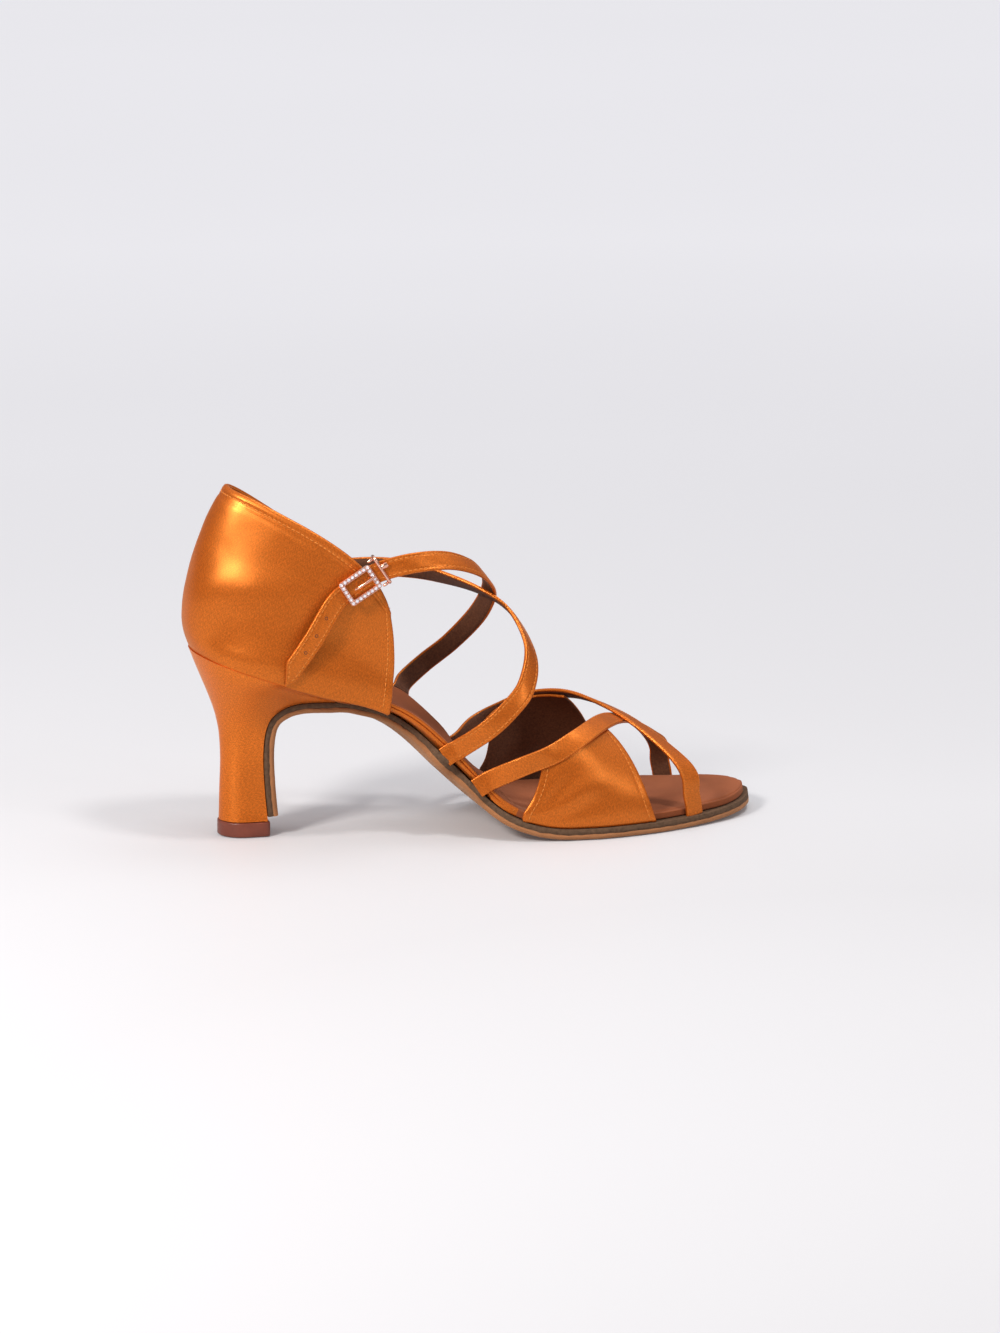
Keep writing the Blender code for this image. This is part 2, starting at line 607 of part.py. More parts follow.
# ---------------------------------------------------------------- buckle
def buckle_axes():
    """Middle of the frame, the strap's direction, the direction across it, and out."""
    bx, bz = BUCKLE_AT
    c, s = math.cos(math.radians(BUCKLE_RISE)), math.sin(math.radians(BUCKLE_RISE))
    y = {k: counter_y("lateral", bx + k * c, bz + k * s) for k in (-6.0, 6.0)}
    fwd = Vector((12 * c, -(y[6.0] - y[-6.0]), 12 * s)).normalized()
    out = Vector((0, -1, 0))
    out = (out - fwd * out.dot(fwd)).normalized()
    mid = Vector((bx, -(y[6.0] + y[-6.0]) / 2, bz)) + out * (2.2 + STRAP_THICK / 2 + GAP + BUCKLE_THICK / 2 + 0.6)
    return mid, fwd, fwd.cross(out), out


def buckle_frame_mesh(name):
    mid, fwd, across, out = buckle_axes()

    def ring(length, width, corner, lift):
        pts = []
        for sx, sy in ((1, 1), (-1, 1), (-1, -1), (1, -1)):
            for k in range(3):
                a = math.radians(45 * k + {(1, 1): 0, (-1, 1): 90, (-1, -1): 180, (1, -1): 270}[(sx, sy)])
                pts.append((sx * (length / 2 - corner) + corner * math.cos(a), sy * (width / 2 - corner) + corner * math.sin(a)))
        return [mid + fwd * a + across * b + out * lift for a, b in pts]

    h, b = BUCKLE_THICK / 2, BUCKLE_BAR
    outer = [ring(BUCKLE_LENGTH, BUCKLE_WIDTH, 1.2, -h), ring(BUCKLE_LENGTH, BUCKLE_WIDTH, 1.2, h - 0.3), ring(BUCKLE_LENGTH - 0.6, BUCKLE_WIDTH - 0.6, 1.0, h)]
    inner = [ring(BUCKLE_LENGTH - 2 * b + 0.6, BUCKLE_WIDTH - 2 * b + 0.6, 0.6, h), ring(BUCKLE_LENGTH - 2 * b, BUCKLE_WIDTH - 2 * b, 0.4, h - 0.3),
             ring(BUCKLE_LENGTH - 2 * b, BUCKLE_WIDTH - 2 * b, 0.4, -h)]
    loops = outer + inner + [outer[0]]
    n = len(loops[0])
    verts = [v for loop in loops[:-1] for v in loop]
    rows = len(loops) - 1
    faces = [(i * n + j, i * n + (j + 1) % n, ((i + 1) % rows) * n + (j + 1) % n, ((i + 1) % rows) * n + j) for i in range(rows) for j in range(n)]
    return mesh_from(name, verts, faces)


def tube(name, points, radius, closed, coll):
    """A wire as a poly curve with a round section, turned into a mesh."""
    cu = bpy.data.curves.new(name + "_wire", "CURVE")
    cu.dimensions, cu.bevel_depth, cu.bevel_resolution = "3D", radius * MM, 2
    cu.use_fill_caps = True
    sp = cu.splines.new("POLY")
    sp.points.add(len(points) - 1)
    for q, p in zip(sp.points, points):
        q.co = (*[c * MM for c in p], 1)
    sp.use_cyclic_u = closed
    ob = new_object(name + "_wire", cu, coll)
    me = bpy.data.meshes.new_from_object(ob.evaluated_get(bpy.context.evaluated_depsgraph_get()))
    bpy.data.objects.remove(ob, do_unlink=True)
    bm = bmesh.new()
    bm.from_mesh(me)
    bmesh.ops.remove_doubles(bm, verts=bm.verts, dist=0.00001)
    bmesh.ops.recalc_face_normals(bm, faces=bm.faces)
    bm.to_mesh(me)
    bm.free()
    me.shade_smooth()
    return me


def buckle_loop_points():
    """A flat oval of wire round the strap, in front of the frame."""
    mid, fwd, across, out = buckle_axes()
    centre = mid + fwd * (BUCKLE_LENGTH / 2 + 3.2) - out * (BUCKLE_THICK / 2 + GAP + STRAP_THICK / 2 + 0.62)
    half, rise, corner = STRAP_WIDTH / 2 + 1.9, STRAP_THICK / 2 + 1.55, 0.9
    pts = []
    for sx, sy, a0 in ((1, 1, 0), (-1, 1, 90), (-1, -1, 180), (1, -1, 270)):
        for k in range(4):
            a = math.radians(a0 + 30 * k)
            pts.append((sx * (half - corner) + corner * math.cos(a), sy * (rise - corner) + corner * math.sin(a)))
    return [centre + across * a + out * b for a, b in pts]


def buckle_prong_points():
    mid, fwd, across, out = buckle_axes()
    lift = BUCKLE_THICK / 2 + 0.55 + GAP
    return [mid + fwd * a + out * (lift + b) for a, b in ((6.6, 0.0), (5.0, 0.35), (2.0, 0.45), (-1.0, 0.1), (-2.6, -0.25))]


# ---------------------------------------------------------------- assembly
def main():
    clear_scene()
    shoe, guides = collection("dance_sandal"), collection("cutters")
    satin = material("satin", (0.58, 0.12, 0.01), 0.35)
    suede = material("suede", (0.48, 0.20, 0.07), 0.95)
    sock = material("sock", (0.25, 0.06, 0.02), 0.85)
    cap = material("cap_plastic", (0.19, 0.04, 0.02), 0.35)
    gold = material("rose_gold", (0.80, 0.40, 0.27), 0.2, 1.0)

    pieces = [
        new_object("outsole", outsole_mesh("outsole"), shoe, suede),
        new_object("insole", insole_mesh("insole"), shoe, sock),
        new_object("heel", heel_mesh("heel"), shoe, satin.copy()),
        new_object("heel_tip", heel_tip_mesh("heel_tip"), shoe, cap),
    ]
    clear_insole = as_guide(new_object("clear_insole", insole_mesh("clear_insole", 0.3), guides))
    clear_outsole = as_guide(new_object("clear_outsole", outsole_mesh("clear_outsole", 0.3), guides))

    counter = new_object("counter", counter_mesh("counter"), shoe, satin)
    thicken(counter, WALL_COUNTER)
    pieces.append(counter)

    vamp = new_object("vamp", strap_mesh("vamp", STRAP_C, 38), shoe, satin.copy())
    strap_d = as_guide(new_object("strap_d", strap_mesh("strap_d", STRAP_D, 38), guides))
    boolean(vamp, strap_d, "UNION")
    for side in SIDES:
        panel = as_guide(new_object("panel_" + side, panel_mesh("panel_" + side, side), guides))
        thicken(panel, WALL_PANEL)
        boolean(vamp, panel, "UNION")
    boolean(vamp, clear_insole, "DIFFERENCE")
    boolean(vamp, clear_outsole, "DIFFERENCE")
    pieces.append(vamp)

    straps = new_object("instep_straps", strap_mesh("instep_straps", STRAP_A, 46), shoe, satin.copy())
    strap_b = as_guide(new_object("strap_b", strap_mesh("strap_b", strap_b_rows(), 66, point=9.0), guides))
    boolean(straps, strap_b, "UNION")
    boolean(straps, clear_insole, "DIFFERENCE")
    boolean(straps, clear_outsole, "DIFFERENCE")
    pieces.append(straps)

    pieces.append(new_object("buckle_frame", buckle_frame_mesh("buckle_frame"), shoe, gold))
    pieces.append(new_object("buckle_loop", tube("buckle_loop", buckle_loop_points(), 0.65, True, guides), shoe, gold.copy()))
    pieces.append(new_object("buckle_prong", tube("buckle_prong", buckle_prong_points(), 0.55, False, guides), shoe, gold.copy()))

    stand = bpy.data.objects.new("shoe_origin", None)
    shoe.objects.link(stand)
    stand.location = (-CENTRE_X * MM, -CENTRE_Y * MM, 0)
    for ob in pieces + list(guides.objects):
        ob.parent = stand


main()
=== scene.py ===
"""Looks of the right foot Latin dance sandal: satin upper, padded sock, suede sole, stitches and stone-set buckle.

Tables and shape functions repeat the solid model's, in its own millimetres; every mesh is moved to the row frame in metres.
"""

import math

import bmesh
import bpy
import numpy as np
from mathutils import Matrix, Vector, noise


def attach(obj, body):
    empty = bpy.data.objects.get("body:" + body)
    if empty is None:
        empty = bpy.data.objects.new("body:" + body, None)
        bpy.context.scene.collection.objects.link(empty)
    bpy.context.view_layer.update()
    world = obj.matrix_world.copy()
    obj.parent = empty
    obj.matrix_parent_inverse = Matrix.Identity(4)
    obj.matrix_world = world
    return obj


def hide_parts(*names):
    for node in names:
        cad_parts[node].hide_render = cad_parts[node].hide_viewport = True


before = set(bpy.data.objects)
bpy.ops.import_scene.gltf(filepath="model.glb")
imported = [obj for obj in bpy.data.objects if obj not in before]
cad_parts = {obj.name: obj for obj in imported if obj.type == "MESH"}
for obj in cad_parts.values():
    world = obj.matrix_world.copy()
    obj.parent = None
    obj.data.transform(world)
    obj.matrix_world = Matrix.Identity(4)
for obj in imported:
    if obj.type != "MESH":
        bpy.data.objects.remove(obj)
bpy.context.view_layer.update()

MM = 0.001

# ---------------------------------------------------------------- driving dimensions, mm
HEEL_HEIGHT = 75.2  # seat back above the floor
SOLE_LENGTH = 245.0  # along the profile, seat back to toe tip
SOLE_THICK = 4.2
GAP = 0.3
WALL_COUNTER = 1.8
WALL_PANEL = 1.5
STRAP_WIDTH = 8.0
STRAP_THICK = 1.4
TUCK_DEPTH, TUCK_PAST = 0.1, 0.6  # a panel's top lies this deep in its strap and this far past its middle
INSET = WALL_COUNTER + GAP + 0.3  # insole edge inside the upper's outer face
CAP_HEIGHT = 5.7
FLAP_END = 7.4  # height where the sole's heel flap stops
BUCKLE_LENGTH, BUCKLE_WIDTH, BUCKLE_BAR, BUCKLE_THICK = 14.2, 10.8, 2.0, 1.4
CENTRE_X, CENTRE_Y = 112.01, 0.25  # middle of the shoe's box, moved to the origin


def table(names, rows):
    return {n: np.array([r[i] for r in rows], float) for i, n in enumerate(names)}


def smooth(xs, ys, x):
    """Monotone cubic through the rows of a table column."""
    x = min(max(x, xs[0]), xs[-1])
    h, d = np.diff(xs), np.diff(ys) / np.diff(xs)
    i = int(min(max(np.searchsorted(xs, x) - 1, 0), len(h) - 1))

    def slope(k):
        if k == 0:
            return d[0]
        if k == len(xs) - 1:
            return d[-1]
        if d[k - 1] * d[k] <= 0:
            return 0.0
        a, b = 2 * h[k] + h[k - 1], h[k] + 2 * h[k - 1]
        return (a + b) / (a / d[k - 1] + b / d[k])

    t = (x - xs[i]) / h[i]
    m0, m1 = slope(i) * h[i], slope(i + 1) * h[i]
    return float(
        (2 * t**3 - 3 * t**2 + 1) * ys[i] + (t**3 - 2 * t**2 + t) * m0
        + (-2 * t**3 + 3 * t**2) * ys[i + 1] + (t**3 - t**2) * m1
    )


def at(tab, key, name, x):
    return smooth(tab[key], tab[name], x)


def step(a, b, x):
    t = min(max((x - a) / (b - a), 0.0), 1.0)
    return t * t * (3 - 2 * t)


def spline(points, count):
    """Catmull-Rom through the points, resampled at even arc length. Extra columns ride along."""
    p = np.array(points, float)
    q = np.vstack([2 * p[0] - p[1], p, 2 * p[-1] - p[-2]])
    out = []
    for i in range(1, len(q) - 2):
        a, b, c, d = q[i - 1], q[i], q[i + 1], q[i + 2]
        for t in np.linspace(0, 1, 24, endpoint=False):
            out.append(0.5 * (2 * b + (c - a) * t + (2 * a - 5 * b + 4 * c - d) * t * t + (3 * b - a - 3 * c + d) * t**3))
    out.append(p[-1])
    out = np.array(out)
    run = np.concatenate([[0], np.cumsum(np.linalg.norm(np.diff(out[:, :3], axis=0), axis=1))])
    even = np.linspace(0, run[-1], count)
    return np.stack([np.interp(even, run, out[:, k]) for k in range(out.shape[1])], axis=1)


# ---------------------------------------------------------------- profile of the last
SLOPE = table(("s", "down"), [
    (0, 18.3), (60, 18.3), (70, 21), (80, 28), (90, 36), (100, 41), (112, 42.5), (124, 40),
    (134, 32), (144, 21), (154, 10), (163, 2), (170, 0), (204, 0), (214, -1.5), (230, -4.5), (250, -8),
])
S_STEP = 0.5
S_ALL = np.arange(0, SOLE_LENGTH + 6, S_STEP)


def profile_line(gain):
    """x and z along the profile when the arch part of the slope table is multiplied by gain."""
    down = np.array([at(SLOPE, "s", "down", s) * (gain if 60 < s < 170 else 1.0) for s in S_ALL + S_STEP / 2])
    a = np.radians(down)
    x = np.concatenate([[0], np.cumsum(np.cos(a) * S_STEP)])[:-1]
    z = HEEL_HEIGHT - np.concatenate([[0], np.cumsum(np.sin(a) * S_STEP)])[:-1]
    return x, z


def arch_gain():
    """The gain that brings the ball down onto the sole's thickness."""
    low, high = 0.7, 1.4
    for _ in range(40):
        mid = (low + high) / 2
        z = profile_line(mid)[1]
        low, high = (mid, high) if z[int(185 / S_STEP)] > SOLE_THICK + GAP else (low, mid)
    return (low + high) / 2


PX, PZ = profile_line(arch_gain())
BALL_Z = SOLE_THICK + GAP
PZ = np.where((S_ALL >= 169.9) & (S_ALL <= 204.1), BALL_Z, PZ)


def xz(s):
    return float(np.interp(s, S_ALL, PX)), float(np.interp(s, S_ALL, PZ))


def normal_of(s):
    (x0, z0), (x1, z1) = xz(s - 1.0), xz(s + 1.0)
    length = math.hypot(x1 - x0, z1 - z0)
    return (z0 - z1) / length, (x1 - x0) / length


def on_last(s, y, n):
    """Point at distance s along the profile, y across and n above it."""
    (x, z), (nx, nz) = xz(s), normal_of(s)
    return Vector((x + n * nx, y, z + n * nz))


# ---------------------------------------------------------------- outline of the last
OUTLINE = table(("s", "lateral", "medial"), [
    (0, 3.5, 3.5), (1, 8.6, 8.6), (2.6, 12.6, 12.6), (5, 17, 17), (10, 22.2, 22.2), (20, 27, 27), (35, 28.8, 28.6),
    (50, 28, 27.6), (65, 26.6, 25.2), (80, 25.5, 22.4), (95, 26, 20.8), (110, 28.5, 21.4), (125, 32, 25), (140, 36, 31),
    (155, 39, 36.2), (165, 40, 39), (175, 40, 40.5), (185, 38.5, 40.5), (200, 34.5, 39), (215, 28, 35.5),
    (225, 22.6, 31.6), (232, 18, 28), (238, 12.2, 23), (242, 6, 17.6), (244, 1.2, 13), (245, -3.2, 9),
])
EDGE_STATIONS = [0, 0.8, 2.0, 4.0, 7.0, 11.5, 17, 24] + list(range(32, 80, 6)) + list(range(80, 162, 5)) + [
    167, 170, 178, 187, 196, 204, 210, 216, 221, 226, 230, 234, 237.5, 240.5, 243, 245]
SIDES = {"lateral": -1.0, "medial": 1.0}


def edge(s, side, inset):
    """The outline's point at s, moved square to the outline by inset (inward)."""
    sign = SIDES[side]
    half = at(OUTLINE, "s", side, s)
    lean = (at(OUTLINE, "s", side, min(s + 0.4, 245)) - at(OUTLINE, "s", side, max(s - 0.4, 0))) / (
        min(s + 0.4, 245) - max(s - 0.4, 0))
    size = math.hypot(1, lean)
    return s + inset * lean / size, sign * (half - inset / size)


def cup(s):
    """How far the last's bottom edge curls up above its middle line."""
    return 0.2 + 1.4 * step(50, 76, s) * (1 - step(105, 140, s))


# ---------------------------------------------------------------- line of the sole, on under the heel breast
BREAST = [(60.5, 54.35), (52, 54.6), (44, 54.3), (38.6, 53.2), (34.2, 51.0), (30.6, 47.6), (28.6, 43.2),
          (27.6, 37), (27.4, 30), (27.7, 22), (28.2, 14.5), (29.0, 6.0)]
JOIN_S = 76.0


def sole_path():
    rear = spline([xz(84), xz(80), xz(JOIN_S)] + BREAST, 260)
    start = int(np.argmin(np.hypot(rear[:, 0] - xz(JOIN_S)[0], rear[:, 1] - xz(JOIN_S)[1])))
    rear = rear[start + 1:]
    front = np.array([xz(s) for s in S_ALL if s >= JOIN_S])
    run = np.cumsum(np.hypot(*np.diff(np.vstack([[xz(JOIN_S)], rear]), axis=0).T))
    t = np.concatenate([JOIN_S - run[::-1], [s for s in S_ALL if s >= JOIN_S]])
    return t, np.vstack([rear[::-1], front])


PATH_T, PATH_XZ = sole_path()
PATH_START = float(PATH_T[0])


def path_xz(t):
    return float(np.interp(t, PATH_T, PATH_XZ[:, 0])), float(np.interp(t, PATH_T, PATH_XZ[:, 1]))


def on_path(t, y, n):
    """Like on_last, on the line that leaves the seat and goes down the heel breast."""
    (x0, z0), (x1, z1), (x, z) = path_xz(t - 0.8), path_xz(t + 0.8), path_xz(t)
    length = math.hypot(x1 - x0, z1 - z0)
    if 170 <= t <= 204:
        return Vector((x, y, z + n))
    return Vector((x + n * (z0 - z1) / length, y, z + n * (x1 - x0) / length))


def path_at_height(height):
    """Where the path passes this height on the heel breast."""
    for t in np.arange(PATH_START, 30, 0.25):
        if path_xz(t)[1] >= height:
            return float(t)
    return PATH_START


# half widths of the sole where it is narrower than the outline
WAIST = table(("t", "lateral", "medial"), [
    (-20, 8.9, 8.9), (-6, 8.4, 8.4), (8, 8.2, 8.2), (22, 8.6, 8.6), (30, 9.6, 9.6), (38, 12.2, 12.2), (44, 14.2, 14.2),
    (52, 16.6, 16.6), (62, 18.2, 18.0), (76, 17.4, 16.8), (90, 17, 15.6), (99, 19, 15.6), (104, 23.4, 16.4),
    (110, 24.4, 17.6), (117, 24.2, 19.2), (125, 27.4, 22.4), (134, 32.4, 27), (143, 36.4, 32),
])


def curl(t):
    """How far the sole's edges rise above its middle in the waist."""
    return 1.5 * step(64, 86, t) * (1 - step(116, 142, t))


def sole_edge(t, side, inset=-1.0):
    """Edge of the outsole at path distance t: the outline in front, the narrow waist and flap behind."""
    k = step(132, 147, t)
    narrow = at(WAIST, "t", side, t) - inset - 1.0
    if k <= 0:
        return t, SIDES[side] * narrow
    s, y = edge(t, side, inset)
    return s, y * k + SIDES[side] * narrow * (1 - k)


INSOLE_RISE = table(("s", "lateral", "middle", "medial"), [
    (0, 3.0, 2.6, 3.0), (60, 3.0, 2.6, 3.2), (78, 5.2, 3.2, 6.2), (92, 6.0, 3.6, 8.6), (108, 5.8, 3.6, 8.4),
    (122, 4.8, 3.2, 5.8), (138, 3.4, 2.8, 3.6), (152, 2.7, 2.6, 2.7), (245, 2.6, 2.6, 2.6),
])


def insole_inset(s):
    return INSET - 1.5 * step(219, 234, s)

# heel sections: front_t is where the section meets the sole's path
HEEL = table(("front_t", "back_x", "back_z", "half", "seat"), [
    (-16.9, 10.9, 6.0, 9.2, 0.0), (-6, 11.2, 17, 8.5, 0.0), (8, 11.7, 30, 8.1, 0.0), (17, 11.4, 39, 8.5, 0.0), (24, 10.0, 47.5, 10.4, 0.02),
    (31, 7.3, 55.8, 14.6, 0.1), (38.5, 4.6, 62.6, 19.6, 0.28), (47, 2.3, 68.4, 24.2, 0.56), (58, 0.8, 72.4, 27.6, 0.86),
])
SEAT_FRONT = 62.0

# ---------------------------------------------------------------- counter
TOPLINE = table(("back", "x", "y", "z"), [
    (0, 14.5, 0, 138.6), (0.09, 15.5, 6.0, 138.2), (0.17, 18.6, 10.6, 137.0), (0.26, 24, 14.2, 134.4), (0.38, 33, 18.2, 129.6),
    (0.50, 43, 21.2, 124.0), (0.61, 52, 23.4, 118.2), (0.72, 60, 25.0, 112.0), (0.83, 66.7, 26.0, 105.0), (0.92, 71.4, 26.4, 98.4), (1, 73.8, 26.4, 92.5),
])
BACK_BULGE = table(("up", "out"), [(0, 0), (0.1, 3.4), (0.2, 5.6), (0.35, 6.8), (0.52, 6.7), (0.75, 4.9), (0.9, 2.5), (1, 0)])
SIDE_BULGE = table(("up", "heel", "front"), [(0, 0, 0), (0.15, 1.5, 0.3), (0.35, 1.7, -0.9), (0.6, 0.6, -0.8), (0.85, 0.0, -0.2), (1, 0, 0)])
COUNTER_FRONT = {"lateral": 78.0, "medial": 64.5}
MEDIAL_SHORT = 0.785  # the medial wing of the counter is this much of the lateral one


def counter_point(side, back, up):
    """back runs from 0 at the middle of the back to 1 at the front edge, up from the seat seam to the top edge."""
    sign = SIDES[side]
    s = COUNTER_FRONT[side] * (0.03 * back + 0.97 * back**1.55)
    se, ye = edge(s, side, 0.0)
    if back == 0:
        ye = 0.0
    low = on_last(se, ye, cup(s) - 0.2)
    top = Vector((at(TOPLINE, "back", "x", back), sign * at(TOPLINE, "back", "y", back), at(TOPLINE, "back", "z", back)))
    if side == "medial":
        top.x += (MEDIAL_SHORT - 1) * (top.x - at(TOPLINE, "back", "x", 0))
    p = low.lerp(top, up)
    rear = max(0.0, 1 - (back / 0.66) ** 2) ** 1.2
    p.x -= at(BACK_BULGE, "up", "out", up) * rear
    w = step(0.15, 0.45, back)
    f = step(0.45, 0.85, back)
    p.y += sign * w * (at(SIDE_BULGE, "up", "heel", up) * (1 - f) + at(SIDE_BULGE, "up", "front", up) * f)
    p.x += 2.0 * step(0.6, 1.0, back) * math.sin(math.pi * min(up * 0.95, 1.0)) ** 1.2
    return p


def counter_y(side, x, z):
    """Half width of the counter's outer face at this place on its side."""
    best = None
    for back in np.linspace(0.35, 1, 40):
        for up in np.linspace(0, 1, 40):
            p = counter_point(side, float(back), float(up))
            d = (p.x - x) ** 2 + (p.z - z) ** 2
            if best is None or d < best[0]:
                best = (d, abs(p.y))
    return best[1]


# ---------------------------------------------------------------- straps
FOOT = table(("x", "top", "half"), [
    (0, 150, 27), (40, 148, 27), (65, 146, 27), (75, 142, 27.5), (85, 126, 28), (95, 108, 29), (105, 93, 30), (120, 76, 33),
    (135, 60, 36), (150, 48.5, 39), (165, 40.5, 41), (190, 31, 41), (215, 24, 36), (240, 20, 30),
])


def foot_field(p):
    """Below 1 inside the foot, above 1 outside: an ellipse across at each x."""
    low = float(np.interp(p[0], PX, PZ)) + 2
    top, half = at(FOOT, "x", "top", p[0]), at(FOOT, "x", "half", p[0])
    mid, h = (low + top) / 2, (top - low) / 2
    return ((p[1] - 0.5) / half) ** 2 + ((p[2] - mid) / h) ** 2


def foot_normal(p):
    g = []
    for k in range(3):
        a, b = list(p), list(p)
        a[k] -= 0.5
        b[k] += 0.5
        g.append(foot_field(b) - foot_field(a))
    return Vector(g).normalized()


def strap_frames(rows, count):
    """Points, directions and outward normals along a strap; the last column lifts it off the foot."""
    pts = spline(rows, count)
    centre = [Vector(p[:3]) for p in pts]
    normals = [foot_normal(p) for p in centre]
    centre = [c + n * p[3] for c, n, p in zip(centre, normals, pts)]
    frames = []
    for i, c in enumerate(centre):
        t = (centre[min(i + 1, count - 1)] - centre[max(i - 1, 0)]).normalized()
        n = (normals[i] - t * normals[i].dot(t)).normalized()
        frames.append((c, t, n, t.cross(n)))
    return frames


def root(s, side, n, inset=0.85):
    """A strap's foot on the edge of the last."""
    se, ye = edge(s, side, inset)
    return tuple(on_last(se, ye, n)) + (0.0,)


STRAP_A = [root(106, "lateral", -2), root(107.5, "lateral", 4), (112, -33.2, 44, 0), (121, -33, 52, 0), (128.5, -28.5, 60, 0), (132.5, -17, 71.5, 0),
           (127.5, -5, 85, 0), (117, 4, 93, 0), (100, 17, 97.2, 0), (87, 24.2, 98.8, 0), (76, 25.0, 99.4, 0), (66, 23.8, 99.4, 0), (58, 21.6, 99, 0), (46, 19.6, 98.2, 0)]
STRAP_B_FOOT = [root(88, "medial", -2), root(89, "medial", 4), (91, 28, 52, 0), (99.5, 30.5, 58.5, 0), (109.5, 25, 68, 0), (117, 14, 80, 0.1),
                (118.5, 4, 90, 0.9), (115.5, -6, 98, 1.15), (109, -17.5, 105.6, 0.3), (98, -25.6, 110.6, 0), (84, -29.6, 111, 0)]
STRAP_C = [root(123, "lateral", -2), root(125, "lateral", 4), (127, -36, 26, 0), (138, -36, 34, 0), (150, -31.5, 39.6, 0), (161, -19, 42, 0), (171, -2, 39.6, 0),
           (182, 14.5, 33.6, 0), (193, 28.5, 24.5, 0), (199, 34.2, 14.5, 0), root(218.5, "medial", 4), root(219.5, "medial", -2)]
STRAP_D = [root(118, "medial", -2), root(120, "medial", 4), (121, 31, 28, 0), (131, 34.6, 36, 0), (144, 32.5, 42, 0), (157, 21.5, 44.2, 0.3), (169, 4.5, 41, 0.9),
           (179, -9.5, 35.4, 0.9), (190, -22, 27, 0.2), (197, -28.6, 17, 0), root(217, "lateral", 4), root(218, "lateral", -2)]

BUCKLE_AT = (62.4, 103.2)  # x and z of the frame's middle on the lateral counter
BUCKLE_RISE = 33.0  # degrees, the strap rises forward through the frame


def counter_side(x, z, out):
    """A point this far outside the lateral counter."""
    return (x, -(counter_y("lateral", x, z) + out), z, 0.0)


def strap_b_rows():
    """The long strap: over the instep, through the loop and the frame, and on down the counter to its free point."""
    c, s = math.cos(math.radians(BUCKLE_RISE)), math.sin(math.radians(BUCKLE_RISE))
    bx, bz = BUCKLE_AT
    rows = list(STRAP_B_FOOT)
    rows += [counter_side(bx + 11 * c, bz + 9.4 * s, 2.6), counter_side(bx + 4 * c, bz + 4 * s, 2.1), counter_side(bx - 4.5 * c, bz - 4.5 * s, 2.2),
             counter_side(bx - 12.0 * c, bz - 13.5 * s, 3.4), counter_side(43.6, 82.4, 3.4), counter_side(36.6, 72.8, 2.2)]
    x, z = 31.2, 65.4
    rows.append((x, -(at(OUTLINE, "s", "lateral", 32) + 1.7), z, 0.0))
    return rows


# ---------------------------------------------------------------- side panels of the vamp
def along(rows, fraction):
    """A point part of the way along a strap, its outward normal, and the direction across it that climbs the foot."""
    pts = spline(rows, 101)
    i = int(round(fraction * 100))
    p, q = Vector(pts[i][:3]), Vector(pts[i + 1][:3])
    n = foot_normal(p)
    across = (q - p).cross(n).normalized()
    return p, n, across if across.z > 0 else -across


PANEL = {  # s at the sole edge and fractions of the strap that its top is sewn under
    "lateral": {"strap": STRAP_C, "s": (146, 199), "f": (0.20, 0.44)},
    "medial": {"strap": STRAP_D, "s": (143, 197), "f": (0.19, 0.43)},
}


# ---------------------------------------------------------------- buckle
def buckle_axes():
    """Middle of the frame, the strap's direction, the direction across it, and out."""
    bx, bz = BUCKLE_AT
    c, s = math.cos(math.radians(BUCKLE_RISE)), math.sin(math.radians(BUCKLE_RISE))
    y = {k: counter_y("lateral", bx + k * c, bz + k * s) for k in (-6.0, 6.0)}
    fwd = Vector((12 * c, -(y[6.0] - y[-6.0]), 12 * s)).normalized()
    out = Vector((0, -1, 0))
    out = (out - fwd * out.dot(fwd)).normalized()
    mid = Vector((bx, -(y[6.0] + y[-6.0]) / 2, bz)) + out * (2.2 + STRAP_THICK / 2 + GAP + BUCKLE_THICK / 2 + 0.6)
    return mid, fwd, fwd.cross(out), out


def buckle_prong_points():
    mid, fwd, across, out = buckle_axes()
    lift = BUCKLE_THICK / 2 + 0.55 + GAP
    return [mid + fwd * a + out * (lift + b) for a, b in ((6.6, 0.0), (5.0, 0.35), (2.0, 0.45), (-1.0, 0.1), (-2.6, -0.25))]



# ================================================================ visual meshes
class Build:
    """Collects vertices in millimetres, faces, UVs in millimetres and material numbers."""

    def __init__(self):
        self.v, self.f, self.uv, self.m = [], [], [], []

    def rows(self, rows, uvs, mat=0, wrap=False):
        """Quads over rows of equal count. uvs has one more column than rows when wrap is set; mat may be a function of i, j."""
        base, n = len(self.v), len(rows[0])
        for row in rows:
            self.v += [tuple(p) for p in row]
        for i in range(len(rows) - 1):
            for j in range(n if wrap else n - 1):
                k = (j + 1) % n
                self.f.append([base + a for a in (i * n + j, i * n + k, (i + 1) * n + k, (i + 1) * n + j)])
                self.uv.append([uvs[i][j], uvs[i][j + 1], uvs[i + 1][j + 1], uvs[i + 1][j]])
                self.m.append(mat(i, j) if callable(mat) else mat)

    def face(self, points, uvs, mat=0):
        base = len(self.v)
        self.v += [tuple(p) for p in points]
        self.f.append(list(range(base, base + len(points))))
        self.uv.append(list(uvs))
        self.m.append(mat)


